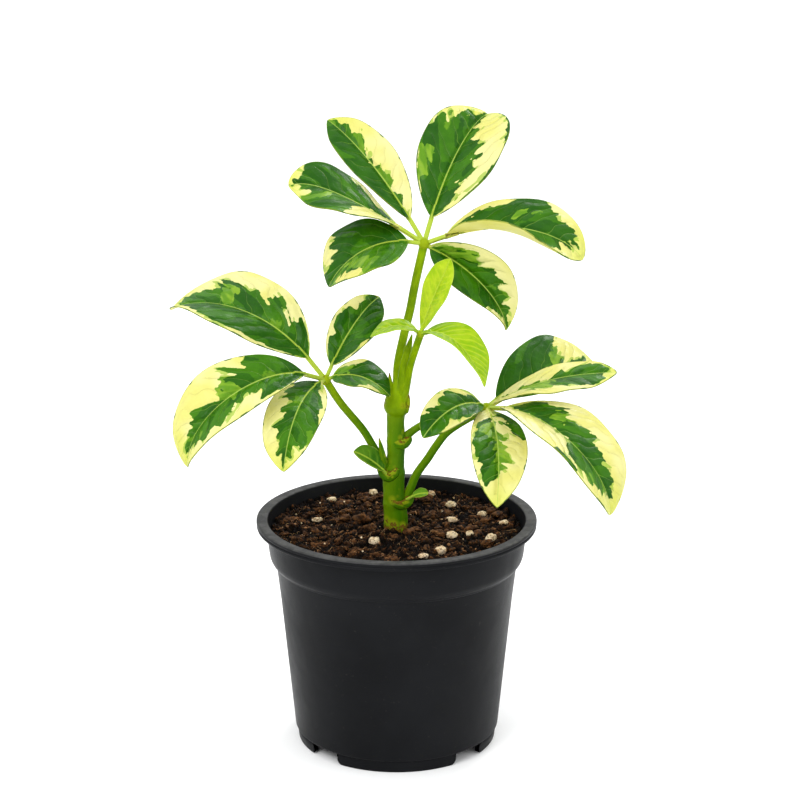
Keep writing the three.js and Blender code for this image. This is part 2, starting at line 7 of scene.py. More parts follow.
import bmesh
import bpy
import numpy as np
from mathutils import Matrix, Vector, noise


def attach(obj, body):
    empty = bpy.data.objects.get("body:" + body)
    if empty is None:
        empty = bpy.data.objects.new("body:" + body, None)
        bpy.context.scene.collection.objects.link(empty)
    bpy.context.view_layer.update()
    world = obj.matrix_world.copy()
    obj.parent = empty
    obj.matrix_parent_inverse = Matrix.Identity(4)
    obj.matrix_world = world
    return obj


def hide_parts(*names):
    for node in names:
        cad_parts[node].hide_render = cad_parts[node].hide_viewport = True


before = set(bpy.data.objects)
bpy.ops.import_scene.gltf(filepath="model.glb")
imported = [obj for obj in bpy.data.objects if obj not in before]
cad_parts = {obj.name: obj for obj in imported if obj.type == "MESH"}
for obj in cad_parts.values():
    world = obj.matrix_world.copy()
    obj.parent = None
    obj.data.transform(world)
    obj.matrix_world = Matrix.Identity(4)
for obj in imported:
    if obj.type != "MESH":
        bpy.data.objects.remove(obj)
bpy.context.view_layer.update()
MM = 0.001


# ---- The studio: a white table that runs on behind the plant, and soft light from
# all round, with one large lamp above and to the left. The camera looks a little
# down on the plant from the front, through a long lens.

TABLE_REACH = 60  # half its width in metres, so that its far edge is never seen
CEILING_LIGHT, WALL_LIGHT = 1.6, 0.62
FRONT_SHARE = 0.95  # how much of that light the camera's side gives
LAMPS_AIM = Vector((0, 0, 0.13))
CAMERA_PITCH = 15.7
CAMERA_DISTANCE = 801 * MM
LOOKED_AT = Vector((1.3, 0, 136.1)) * MM
FOCAL_LENGTH, SENSOR_WIDTH = 95, 36


def table_top():
    bm = bmesh.new()
    bmesh.ops.create_grid(bm, x_segments=1, y_segments=1, size=TABLE_REACH)
    mesh = bpy.data.meshes.new("table_top")
    bm.to_mesh(mesh)
    bm.free()
    table = bpy.data.objects.new("table_top", mesh)
    bpy.context.collection.objects.link(table)
    paper = bpy.data.materials.new("white_paper")
    paper.use_nodes = True
    finish = paper.node_tree.nodes["Principled BSDF"]
    finish.inputs["Base Color"].default_value = (0.95, 0.95, 0.952, 1)
    finish.inputs["Roughness"].default_value = 0.9
    finish.inputs["Specular IOR Level"].default_value = 0.1
    mesh.materials.append(paper)


def soft_lamp(name, place, size, power):
    light = bpy.data.lights.new(name, "AREA")
    light.shape, light.size, light.energy = "DISK", size, power
    lamp = bpy.data.objects.new(name, light)
    lamp.location = place
    lamp.rotation_euler = (LAMPS_AIM - Vector(place)).to_track_quat("-Z", "Y").to_euler()
    bpy.context.collection.objects.link(lamp)


def pale_room():
    """Light from a white ceiling, which falls off towards the walls and the camera's side."""
    room = bpy.data.worlds.new("pale_room")
    room.use_nodes = True
    tree = room.node_tree
    seen = tree.nodes.new("ShaderNodeTexCoord")
    parts = tree.nodes.new("ShaderNodeSeparateXYZ")
    tree.links.new(seen.outputs["Generated"], parts.inputs[0])

    def falls_off(direction, *limits):
        node = tree.nodes.new("ShaderNodeMapRange")
        node.interpolation_type = "SMOOTHSTEP"
        for socket, value in zip(node.inputs[1:5], limits):
            socket.default_value = value
        tree.links.new(parts.outputs[direction], node.inputs[0])
        return node.outputs[0]

    both = tree.nodes.new("ShaderNodeMath")
    both.operation = "MULTIPLY"
    tree.links.new(falls_off("Z", 0.05, 0.75, WALL_LIGHT, CEILING_LIGHT), both.inputs[0])
    tree.links.new(falls_off("Y", 0.15, -0.7, 1, FRONT_SHARE), both.inputs[1])
    tree.links.new(both.outputs[0], tree.nodes["Background"].inputs["Strength"])
    tree.nodes["Background"].inputs["Color"].default_value = (0.985, 0.995, 1, 1)
    bpy.context.scene.world = room


def front_camera():
    lens = bpy.data.cameras.new("front_camera")
    lens.lens, lens.sensor_width = FOCAL_LENGTH, SENSOR_WIDTH
    lens.clip_start, lens.clip_end = 0.05, 2.5 * TABLE_REACH
    camera = bpy.data.objects.new("front_camera", lens)
    tilt = math.radians(CAMERA_PITCH)
    camera.location = LOOKED_AT + CAMERA_DISTANCE * Vector((0, -math.cos(tilt), math.sin(tilt)))
    camera.rotation_euler = (math.radians(90) - tilt, 0, 0)
    bpy.context.collection.objects.link(camera)
    bpy.context.scene.camera = camera


table_top()
pale_room()
soft_lamp("lamp_above_left", (-0.5, -0.72, 0.85), 0.5, 4.6)
soft_lamp("lamp_behind", (0.35, 0.75, 0.75), 0.45, 3)
soft_lamp("lamp_right", (0.9, -0.35, 0.35), 0.5, 1.2)
bpy.context.scene.view_settings.view_transform = "Standard"
front_camera()


# ---- The pot: one thin shell of satin black plastic, moulded with a flat rim that
# turns down at its lip, a collar that steps in to the tapered wall, and four feet
# with drain notches between them.

RIM_TOP, RIM_RADIUS, MOUTH_RADIUS = 89.5, 54, 49.7
LIP_DROP = 3  # how far the rim turns down
FOOT_COUNT, FOOT_SPREAD, FOOT_RADIUS = 4, 71, 38  # a foot's spread is in degrees of the ring
CORNER_CUT, CORNER_HEIGHT = 1.8, 1.9  # how the lower corners of a foot are rounded off
POT_TURN = 192  # faces round the pot


def piece(name, bm, material, *stands_for, slot=None):
    """Hands a finished mesh over as a smooth piece of the part that rides on its body."""
    mesh = bpy.data.meshes.new(name)
    bm.to_mesh(mesh)
    bm.free()
    mesh.polygons.foreach_set("use_smooth", [True] * len(mesh.polygons))
    for one in material if isinstance(material, list) else [material]:
        mesh.materials.append(one)
    made = bpy.data.objects.new(name, mesh)
    bpy.context.collection.objects.link(made)
    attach(made, "root")
    if stands_for:
        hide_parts(*stands_for)
    return made


def spun(bm, outline, sides, start=0.0, angle=360.0):
    """Spins an outline of (radius, height) in mm about +Z."""
    turn = Matrix.Rotation(math.radians(start), 4, "Z")
    row = [bm.verts.new(turn @ Vector((r * MM, 0, z * MM))) for r, z in outline]
    edges = [bm.edges.new(pair) for pair in zip(row, row[1:])]
    bmesh.ops.spin(bm, geom=row + edges, cent=(0, 0, 0), axis=(0, 0, 1), dvec=(0, 0, 0),
                   angle=math.radians(angle), steps=sides, use_merge=angle >= 360, use_duplicate=False)
    bmesh.ops.remove_doubles(bm, verts=bm.verts[:], dist=1e-6)


def rounded(corners, steps=4):
    """The outline with each corner (radius, height, rounding) turned into an arc."""
    outline = []
    for i, (x, y, size) in enumerate(corners):
        here = Vector((x, y))
        if not size or i in (0, len(corners) - 1):
            outline.append((x, y))
            continue
        before, after = Vector(corners[i - 1][:2]) - here, Vector(corners[i + 1][:2]) - here
        start = here + before.normalized() * min(size, before.length * 0.49)
        end = here + after.normalized() * min(size, after.length * 0.49)
        for k in range(steps + 1):
            t = k / steps
            bent = start.lerp(here, t).lerp(here.lerp(end, t), t)
            outline.append((bent.x, bent.y))
    return outline


class Finish:
    """Adds the nodes that one finish, or one shared effect, is mixed from."""

    def __init__(self, tree):
        self.tree = tree

    def put(self, socket, value):
        if isinstance(value, bpy.types.NodeSocket):
            self.tree.links.new(value, socket)
        else:
            socket.default_value = value

    def add(self, kind, **inputs):
        node = self.tree.nodes.new("ShaderNode" + kind)
        for name, value in inputs.items():
            self.put(node.inputs[name.replace("_", " ")], value)
        return node

    def calc(self, what, *values):
        node = self.add("Math")
        node.operation = what
        for socket, value in zip(node.inputs, values):
            self.put(socket, value)
        return node.outputs[0]

    def times(self, a, b):
        return self.calc("MULTIPLY", a, b)

    def times_plus(self, a, b, c):
        return self.calc("MULTIPLY_ADD", a, b, c)

    def parts(self, vector):
        return self.add("SeparateXYZ", Vector=vector).outputs

    def grade(self, value, low, high, at_low=0.0, at_high=1.0):
        """Goes smoothly from at_low to at_high while the value goes from low to high."""
        node = self.add("MapRange", Value=value, From_Min=low, From_Max=high,
                        To_Min=at_low, To_Max=at_high)
        node.interpolation_type = "SMOOTHSTEP"
        return node.outputs[0]

    def blend(self, share, under, over):
        node = self.add("Mix")
        node.data_type = "RGBA"
        for socket, value in ((node.inputs[0], share), (node.inputs[6], under), (node.inputs[7], over)):
            self.put(socket, value)
        return node.outputs[2]

    def shared(self, group, **inputs):
        """Places a shared effect with its values and returns its outputs."""
        node = self.tree.nodes.new("ShaderNodeGroup")
        node.node_tree = group
        for name, value in inputs.items():
            self.put(node.inputs[name.replace("_", " ")], value)
        return node.outputs

    def blotches(self, place, size, low, high, detail=3.0):
        """Cloudy blotches of about size mm, from 0 where the noise is low to 1 where it is high."""
        return self.shared(mottling, Place=place, Size=size, Low=low, High=high, Detail=detail)["Mask"]

    def emboss(self, skin, height):
        """Raises the surface by a height in mm."""
        bump = self.add("Bump", Height=height, Strength=1.0, Distance=MM)
        self.put(skin["Normal"], bump.outputs["Normal"])


def new_effect(name, inputs, outputs):
    """An empty shared effect: how to add to it, what comes in, and where results go."""
    group = bpy.data.node_groups.new(name, "ShaderNodeTree")
    for socket, kind in inputs.items():
        group.interface.new_socket(socket, in_out="INPUT", socket_type="NodeSocket" + kind)
    for socket, kind in outputs.items():
        group.interface.new_socket(socket, in_out="OUTPUT", socket_type="NodeSocket" + kind)
    effect = Finish(group)
    given, result = group.nodes.new("NodeGroupInput"), group.nodes.new("NodeGroupOutput")
    return group, effect, given.outputs, result.inputs


def mottling_effect():
    """The noise that blotches are made from."""
    group, effect, given, result = new_effect(
        "mottling", {"Place": "Vector", "Size": "Float", "Low": "Float", "High": "Float",
                     "Detail": "Float"}, {"Mask": "Float"})
    scale = effect.calc("DIVIDE", 1 / MM, given["Size"])
    cloud = effect.add("TexNoise", Vector=given["Place"], Scale=scale, Detail=given["Detail"],
                       Roughness=0.58)
    effect.put(result["Mask"], effect.grade(cloud.outputs["Fac"], given["Low"], given["High"]))
    return group


mottling = mottling_effect()


def new_material(name, roughness, **sockets):
    """A material with its Principled shader, and what the shader has all over."""
    material = bpy.data.materials.new(name)
    material.use_nodes = True
    shader = material.node_tree.nodes["Principled BSDF"]
    shader.inputs["Roughness"].default_value = roughness
    for socket, value in sockets.items():
        shader.inputs[socket.replace("_", " ")].default_value = value
    finish = Finish(material.node_tree)
    return material, shader.inputs, finish, finish.add("TexCoord").outputs["Object"]


def pot_plastic():
    material, skin, finish, place = new_material("pot_plastic", 0.34, Specular_IOR_Level=0.062)
    wide = finish.blotches(place, 38.0, 0.3, 0.7)
    fine = finish.blotches(place, 0.5, 0.3, 0.7)
    dust = finish.blotches(place, 1.1, 0.66, 0.74)
    colour = finish.blend(wide, (0.0045, 0.0048, 0.0056, 1), (0.0075, 0.008, 0.0092, 1))
    colour = finish.blend(finish.times(dust, 0.5), colour, (0.03, 0.027, 0.024, 1))
    # The top of the rim is given a lighter grey, in blotches.
    height_mm = finish.calc("DIVIDE", finish.parts(place)["Z"], MM)
    on_rim = finish.grade(height_mm, RIM_TOP - 0.7, RIM_TOP - 0.25)
    rim_blotches = finish.blotches(place, 3.5, 0.3, 0.75)
    film = finish.times(on_rim, finish.times_plus(rim_blotches, 0.5, 0.3))
    finish.put(skin["Base Color"], finish.blend(film, colour, (0.088, 0.087, 0.086, 1)))
    rough = finish.grade(wide, 0, 1, 0.33, 0.42)
    finish.put(skin["Roughness"], finish.times_plus(fine, 0.06, rough))
    height = finish.times_plus(fine, 0.012, finish.times(wide, 0.25))
    finish.emboss(skin, height)
    return material


def nursery_pot():
    wall = [  # radius and height in mm, and how much the corner is rounded
        # Under the floor, and up the outside to the collar.
        (0, 5.5, 0), (36.7, 5.5, 0.8), (37.2, 4.6, 0.4), (39.3, 4.6, 0.3), (39.7, 5.0, 0.2),
        (39.9, 5.4, 0.2), (44.95, 58, 3),
        # The step, the collar and the lip.
        (46.55, 71.6, 0.15), (47.1, 71.85, 0.12), (47.25, 72.15, 0.15), (47.5, 72.6, 0.3),
        (48.4, 73.6, 0.5), (48.95, 74.9, 0.8), (49.2, 76.5, 0.9), (49.55, 79.5, 2),
        (50, RIM_TOP - LIP_DROP, 0.5),
        (RIM_RADIUS - 1.2, RIM_TOP - LIP_DROP - 0.1, 0.4),
        (RIM_RADIUS - 0.15, RIM_TOP - LIP_DROP + 0.1, 0.35),
        (RIM_RADIUS - 0.1, RIM_TOP - LIP_DROP + 0.9, 0.2),
        (RIM_RADIUS - 0.45, RIM_TOP - LIP_DROP + 1.3, 0.2),
        # Over the rim, and down the inside to the floor.
        (RIM_RADIUS, RIM_TOP - 1.2, 0.3), (RIM_RADIUS - 0.1, RIM_TOP, 0.8),
        (MOUTH_RADIUS, RIM_TOP - 0.1, 0.8), (47.2, 76, 1), (45.3, 71, 1), (38.6, 6.8, 1), (0, 6.8, 0),
    ]
    bm = bmesh.new()
    spun(bm, rounded(wall), POT_TURN)
    foot = rounded([(36.7, 5.6, 0), (36.7, 0, 0.4), (38.7, 0, 0.5), (38.78, 0.75, 0.3),
                    (38.9, 1.9, 0.5), (39.3, 5.6, 0)])
    for number in range(FOOT_COUNT):
        middle = 360 / FOOT_COUNT * number - 90
        spun_foot = bmesh.new()
        spun(spun_foot, foot, 40, start=middle - FOOT_SPREAD / 2, angle=FOOT_SPREAD)
        bmesh.ops.holes_fill(spun_foot, edges=[e for e in spun_foot.edges if e.is_boundary], sides=0)
        # The faces at its two ends lean in towards the ground.
        for v in spun_foot.verts:
            short = CORNER_CUT * max(0.0, 1 - v.co.z / MM / CORNER_HEIGHT) ** 2
            off = math.atan2(v.co.y, v.co.x) - math.radians(middle)
            off = (off + math.pi) % (2 * math.pi) - math.pi
            if abs(off) > math.radians(FOOT_SPREAD / 2 - 2.5):
                v.co = Matrix.Rotation(-math.copysign(short / FOOT_RADIUS, off), 3, "Z") @ v.co
        shape = bpy.data.meshes.new("foot")
        spun_foot.to_mesh(shape)
        spun_foot.free()
        bm.from_mesh(shape)
        bpy.data.meshes.remove(shape)
    bmesh.ops.recalc_face_normals(bm, faces=bm.faces[:])
    return piece("nursery_pot", bm, pot_plastic(), "pot", slot="pot_plastic")


nursery_pot()


# ---- The soil: moist brown peat with bits of bark, fibres and dust, filled to a
# finger's width below the rim. It is loose and lumpy, and stands a little higher
# round the trunk.

SOIL_LEVEL, SOIL_RADIUS = 84.6, 48.6
CLOD_RISE, LUMP_RISE, SUNK = 1.7, 0.8, 1.9  # how the clods and lumps stand on the sunken gaps
SOIL_SKIRT = 6  # how far down its side is modelled
SOIL_MESH = 260  # squares across
CHIP_COUNT, CLOD_COUNT, FIBRE_COUNT = 900, 120, 420
LUMP_SEED = 1795539634  # which bends the lumps have; without a seed they change from run to run
noise.seed_set(LUMP_SEED)


def soil_height(x, y):
    """The height in mm of the soil's swells at a place across the pot in mm."""
    bumps = math.sin(0.31 * x + 1.3) * math.cos(0.27 * y - 0.6) + 0.6 * math.sin(0.55 * x - 0.48 * y)
    return SOIL_LEVEL + 0.54 * bumps + 0.9 * math.exp(-(x * x + y * y) / 180)


def lumps(at, per_mm, bent_per_mm, bend, steep, power):
    """Lumps with bent outlines that lie close together: 0 in the gaps and 1 on top."""
    near, far = noise.voronoi(at * per_mm + noise.noise_vector(at * bent_per_mm) * bend)[0][:2]
    return min((far - near) * steep, 1) ** power


def crumbled_height(x, y):
    """The soil's height with its clods, lumps and crumbs."""
    at = Vector((x, y, 0))
    clods, small = lumps(at, 0.17, 0.3, 0.35, 3.2, 0.5), lumps(at, 0.47, 0.8, 0.4, 2.6, 0.6)
    crumbs = noise.fractal(at * 0.5, 0.85, 2.2, 4) * 0.9 + noise.fractal(at * 1.6, 0.9, 2.0, 3) * 0.45
    return soil_height(x, y) + CLOD_RISE * clods + LUMP_RISE * small + crumbs - SUNK


def attribute_of(finish, name, output="Vector"):
    told = finish.add("Attribute")
    told.attribute_name = name
    return told.outputs[output]


def peat(name, dark, middle, warm, tone=None, rise=None):
    """Loose brown peat; tone names an attribute of paler bits, and rise one of how high the peat
    stands, from which shade is painted into the gaps and light onto the crests.
    """
    material, skin, finish, place = new_material(name, 0.82, Specular_IOR_Level=0.06)
    clods = finish.blotches(place, 4.5, 0.36, 0.66)
    crumbs = finish.blotches(place, 0.9, 0.34, 0.68)
    flecks = finish.blotches(place, 0.75, 0.62, 0.7)
    colour = finish.blend(finish.times(clods, crumbs), dark, middle)
    colour = finish.blend(finish.times(flecks, 0.75), colour, warm)
    if tone:
        colour = finish.blend(attribute_of(finish, tone, "Fac"), colour, warm)
    if rise:
        up = attribute_of(finish, rise, "Fac")
        # Painted shade: where the peat stands low, in the gaps between clods, it is darkened almost to
        # black. Painted light: on the highest crests it is made warmer and paler.
        colour = finish.blend(finish.grade(up, -0.2, 0.55), (0.003, 0.0015, 0.001, 1), colour)
        painted_crest_light = finish.times(finish.grade(up, 0.6, 1.1), crumbs)
        colour = finish.blend(finish.times(painted_crest_light, 0.55), colour, warm)
    finish.put(skin["Base Color"], colour)
    finish.put(skin["Roughness"], finish.grade(crumbs, 0, 1, 0.5, 0.9))
    height = finish.times_plus(crumbs, 0.3, finish.times(flecks, 0.15))
    finish.emboss(skin, height)
    return material


def potting_soil():
    bm = bmesh.new()
    rise = bm.verts.layers.float.new("soil_rise")
    bmesh.ops.create_grid(bm, x_segments=SOIL_MESH, y_segments=SOIL_MESH, size=SOIL_RADIUS * MM)
    outside = [v for v in bm.verts if v.co.length > SOIL_RADIUS * MM]
    bmesh.ops.delete(bm, geom=outside, context="VERTS")
    for v in bm.verts:
        x, y = v.co.x / MM, v.co.y / MM
        height = crumbled_height(x, y)
        v[rise] = height - soil_height(x, y)
        v.co.z = height * MM
    skirt = [e for e in bm.edges if e.is_boundary]
    down = bmesh.ops.extrude_edge_only(bm, edges=skirt)["geom"]
    for v in (g for g in down if isinstance(g, bmesh.types.BMVert)):
        v.co.z = (SOIL_LEVEL - SOIL_SKIRT) * MM
    bmesh.ops.holes_fill(bm, edges=[e for e in bm.edges if e.is_boundary], sides=0)
    bmesh.ops.recalc_face_normals(bm, faces=bm.faces[:])
    moist = peat("moist_peat", (0.007, 0.003, 0.0014, 1), (0.1, 0.038, 0.012, 1),
                 (0.3, 0.125, 0.042, 1), rise="soil_rise")
    return piece("potting_soil", bm, moist, "soil", slot="soil")


def scattered(draw, count, inner=6.5, outer=46.5):
    """Even random places across the soil, clear of the trunk."""
    places = []
    while len(places) < count:
        x, y = draw.uniform(-outer, outer), draw.uniform(-outer, outer)
        if inner < math.hypot(x, y) < outer:
            places.append((x, y))
    return places


def laid(draw, tilt):
    """A random turn about the vertical, of a bit that lies tilted."""
    return Matrix.Rotation(draw.uniform(0, 6.28), 4, "Z") @ Matrix.Rotation(draw.gauss(0, tilt), 4, "X")


def bark_chips():
    draw = random.Random(31)
    bm = bmesh.new()
    tone = bm.verts.layers.float.new("chip_tone")
    for x, y in scattered(draw, CHIP_COUNT):
        long = draw.uniform(0.45, 1.1) * (2.3 if draw.random() < 0.16 else 1)
        chip = bmesh.ops.create_icosphere(bm, subdivisions=1, radius=1)["verts"]
        turn = laid(draw, 0.45)
        slim = draw.uniform(0.4, 0.8) * (0.5 if long > 1.2 else 1)
        size = Matrix.Diagonal((long, long * slim, long * slim * draw.uniform(0.5, 0.75), 1))
        middle = Vector((x, y, crumbled_height(x, y) + 0.12 * long))
        paler = max(0.0, draw.gauss(0.0, 0.33))
        for v in chip:
            v.co = (middle + turn @ (size @ (v.co * draw.uniform(0.75, 1.2)))) * MM
            v[tone] = min(paler, 0.9)
    bark = peat("bark_chips", (0.02, 0.008, 0.003, 1), (0.13, 0.05, 0.018, 1),
                (0.44, 0.22, 0.1, 1), tone="chip_tone")
    return piece("bark_chips", bm, bark, slot="soil")


def peat_clods():
    """Clumps of peat that hold together, a few millimetres across and rough all over."""
    draw = random.Random(83)
    bm = bmesh.new()
    tone = bm.verts.layers.float.new("clod_painted_light")
    for x, y in scattered(draw, CLOD_COUNT, 8, 45):
        long = draw.uniform(1.1, 3.2)
        clod = bmesh.ops.create_icosphere(bm, subdivisions=3, radius=1)["verts"]
        turn = laid(draw, 0.3)
        wide, high = draw.uniform(0.5, 0.85), draw.uniform(0.35, 0.6)
        size = Matrix.Diagonal((long, long * wide, long * high, 1))
        middle = Vector((x, y, crumbled_height(x, y) + 0.05 * long))
        for v in clod:
            rough = 1 + 0.45 * noise.fractal(v.co * 1.4 + middle, 0.8, 2.1, 3)
            # Painted highlight: the knobs and the upper side of each clod are made warmer and paler, as
            # if lit from above.
            v[tone] = max(0.0, min(0.5, 0.9 * (rough - 1.05) + 0.12 * v.co.z))
            v.co = (middle + turn @ (size @ (v.co * rough))) * MM
    clump = peat("peat_clods", (0.012, 0.005, 0.002, 1), (0.14, 0.053, 0.018, 1),
                 (0.46, 0.21, 0.08, 1), tone="clod_painted_light")
    return piece("peat_clods", bm, clump, slot="soil")


def peat_fibres():
    draw = random.Random(57)
    bm = bmesh.new()
    tone = bm.verts.layers.float.new("fibre_tone")
    for x, y in scattered(draw, FIBRE_COUNT):
        long, thick, bow = draw.uniform(2, 6), draw.uniform(0.07, 0.16), draw.uniform(-1.2, 1.2)
        turn = Matrix.Rotation(draw.uniform(0, 6.28), 3, "Z")
        lift, paler = draw.uniform(-0.1, 0.35), draw.uniform(0.1, 0.9)
        strand = bmesh.ops.create_grid(bm, x_segments=3, y_segments=6, size=0.5)["verts"]
        for v in strand:
            run, angle = v.co.y * 2, 2 * math.pi * v.co.x
            girth = thick * math.sqrt(max(1 - run**4, 0))
            flat = turn @ Vector((run * long / 2, bow * run * run + girth * math.cos(angle), 0))
            ground = crumbled_height(x + flat.x, y + flat.y) + lift * (1 - run * run)
            v.co = Vector((x + flat.x, y + flat.y, ground + girth * math.sin(angle))) * MM
            v[tone] = paler
        bmesh.ops.remove_doubles(bm, verts=strand, dist=1e-7)
    bmesh.ops.recalc_face_normals(bm, faces=bm.faces[:])
    husk = peat("peat_fibres", (0.03, 0.012, 0.006, 1), (0.14, 0.065, 0.03, 1),
                (0.4, 0.24, 0.12, 1), tone="fibre_tone")
    return piece("peat_fibres", bm, husk, slot="soil")


potting_soil()
bark_chips()
peat_clods()
peat_fibres()


# ---- The perlite: puffed grains of pale volcanic glass, mixed into the soil. Each
# is a rounded lump with pits, and lies half sunk, with finer crumbs of it about.

# Each grain: where it lies, its radius in mm, how much longer it is, and its turn in degrees.
GRAINS = [
    (-8.5, -16.5, 2.1, 1, 0), (16.5, -27.5, 2.2, 1, 30), (21, -8.5, 1.9, 1.2, -15),
    (36, -13.5, 1.85, 1.15, 20), (28, -8.5, 1.3, 1.2, 10), (33.5, 15.5, 1.4, 1.3, 0),
    (41.5, 3, 1.3, 1.6, 25), (21.5, 7.5, 1.35, 1.8, -5), (21.5, 25.5, 1.7, 1.25, -20),
    (14, 38.5, 1.6, 1, 0), (-9.5, 40, 1.75, 1.05, 0), (-26, 32.5, 1.3, 1.5, 5), (-31, 9, 1.2, 1.7, 12),
    (10, -34, 1.3, 1.5, 5),
]
GRAIN_WIDE, GRAIN_HIGH, GRAIN_RISE = 0.88, 0.85, 0.25  # in radii
CRUMB_COUNT = 42


def puffed_glass():
    material, skin, finish, place = new_material("puffed_glass", 0.8, Specular_IOR_Level=0.15)
    stain = finish.blotches(place, 2.2, 0.42, 0.68)
    pits = finish.add("TexVoronoi", Vector=place, Scale=1 / (0.55 * MM), Randomness=1.0)
    some = finish.blotches(place, 0.8, 0.46, 0.6)
    hole = finish.times(finish.grade(pits.outputs["Distance"], 0.42, 0.2), some)
    colour = finish.blend(stain, (0.83, 0.68, 0.47, 1), (0.55, 0.36, 0.19, 1))
    smear = finish.blotches(place, 1.2, 0.5, 0.62)
    colour = finish.blend(finish.times(smear, 0.7), colour, (0.2, 0.1, 0.045, 1))
    finish.put(skin["Base Color"], finish.blend(hole, colour, (0.07, 0.035, 0.018, 1)))
    height = finish.times_plus(hole, -0.18, finish.times(stain, 0.12))
    finish.emboss(skin, height)
    return material


def perlite_grain(name, x, y, radius, long, turn):
    bm = bmesh.new()
    bmesh.ops.create_icosphere(bm, subdivisions=4, radius=1)
    seed = Vector((x, y, 0))
    for v in bm.verts:
        v.co *= 1 + 0.24 * noise.noise(v.co * 1.5 + seed) + 0.1 * noise.noise(v.co * 4 + seed)
    middle = Vector((x, y, soil_height(x, y) + GRAIN_RISE * radius)) * MM
    size = Matrix.Diagonal((long * radius * MM, radius * GRAIN_WIDE * MM, radius * GRAIN_HIGH * MM, 1))
    bm.transform(Matrix.Translation(middle) @ Matrix.Rotation(math.radians(turn), 4, "Z") @ size)
    return piece(name, bm, pale_grain, name, slot="perlite")


def perlite_crumbs():
    draw = random.Random(12)
    bm = bmesh.new()
    for x, y in scattered(draw, CRUMB_COUNT):
        radius = draw.uniform(0.22, 0.6) * (1.7 if draw.random() < 0.15 else 1)
        crumb = bmesh.ops.create_icosphere(bm, subdivisions=2, radius=radius * MM)["verts"]
        for v in crumb:
            v.co *= 1 + 0.3 * noise.noise(v.co / MM * 1.8 + Vector((x, y, 0)))
        middle = Vector((x, y, crumbled_height(x, y) + 0.15 * radius)) * MM
        bmesh.ops.translate(bm, verts=crumb, vec=middle)
    return piece("perlite_crumbs", bm, pale_grain, slot="perlite")


pale_grain = puffed_glass()
for number, grain in enumerate(GRAINS, 1):
    perlite_grain(f"perlite_{number:02}", *grain)
perlite_crumbs()


# ---- The trunk: one green stem, ringed and swollen where old leaves stood, that
# forks near its top. The sheath of the next bud and pointed stipules grow from it,
# and the foot of each leaf stalk clasps it in a collar with brown scars.

TRUNK_OUTLINE = [  # height, radius and how far to the right its middle is, in mm
    (78, 4.6, -0.2), (84, 4.8, -0.2), (88.8, 4.6, -0.3), (93, 4.4, -0.6), (95, 4.6, -0.7),
    (97, 4.25, -0.9), (101, 4.05, -1.1), (104.5, 4.2, -1.2), (107.5, 4.4, -1), (110, 3.75, -0.7),
    (114.3, 3.35, -0.3), (119.5, 3.7, -0.2), (122, 3.4, -0.3), (127.5, 3.4, -0.4), (130.3, 3.5, -0.3),
    (131.6, 4.5, -0.1), (133.5, 4.95, 0), (136, 4.6, 0.1), (139.5, 3.8, 0.6), (143, 2.6, 1.2),
    (147, 1, 1.8),
]
GROWTHS = [  # the sheath and the stipules: half width and half depth in mm, and the middle line
    (1.65, 1.0, [(2, -1.8, 136), (2.3, -4.1, 144.5), (2.9, -4.9, 149.5), (3.9, -5.5, 155),
                 (5.8, -6.4, 163.2)]),
    (0.85, 0.5, [(-1.4, -1.5, 136), (-2.2, -1.6, 141), (-2.7, -1.2, 147)]),
    (0.6, 0.4, [(3.9, -2.4, 131.5), (4.5, -2.8, 135), (4.8, -2.6, 138.6)]),
    (1.05, 0.5, [(-3, -1.6, 107), (-4.8, -3, 113), (-6.7, -3.2, 122)]),
]
# Collars: half height and half depth in mm, how brown the upper rim is, and the
# middle line round the trunk from left to right.
COLLARS = [
    (1.9, 0.62, 0.8, [(-1.7, -4.2, 96.6), (-0.2, -4.7, 95.8), (1.8, -4.3, 95.3), (4, -3, 95.8),
                      (5.2, -1.4, 97.4), (5.8, 0.4, 99.6)]),
    (2.1, 0.6, 0.65, [(-6, 0.3, 111), (-5.9, -1.2, 109.2), (-4.6, -3.2, 107.3), (-3, -4.2, 106.7),
                      (-1, -4.3, 107.8), (0.5, -3.9, 109.8)]),
    (2, 0.7, 0.8, [(-1.7, -2.8, 120.4), (0.2, -3.3, 119.5), (2.4, -3, 119.2), (4.2, -1.6, 120.2),
                   (5.2, -0.2, 121.6)]),
]
SCARS = [  # brown marks: where, and how far each reaches, in mm
    (-1.9, -5, 97.4, 1.4), (0.6, -4.9, 98.8, 0.8), (1.5, -4.6, 101.5, 0.8), (-0.9, -4.8, 110.6, 0.9),
    (-2.9, -4.2, 112.6, 1), (-3.6, -3.6, 115, 0.9), (1.8, -3.7, 122, 1), (3.4, -2.6, 124, 1.1),
    (4.6, -1.6, 125.4, 1), (2.6, -4.5, 134.9, 1.1), (4.6, -2.6, 134.6, 1.4), (-5, -1.4, 134.8, 1.2),
    (-4.6, -0.6, 136, 1.1), (-4, -3, 88.8, 1.5), (-1.5, -4.6, 87.4, 1.8), (2.5, -4.2, 86.8, 1.4),
    (-3, 3.6, 96, 1.5), (3, 3.4, 108, 1.5), (0, 4.5, 88, 2), (-2.7, -1.2, 146.6, 1.6),
    (5.1, -2.6, 138.2, 1.5), (-6.7, -3.2, 121.8, 1.4),
]


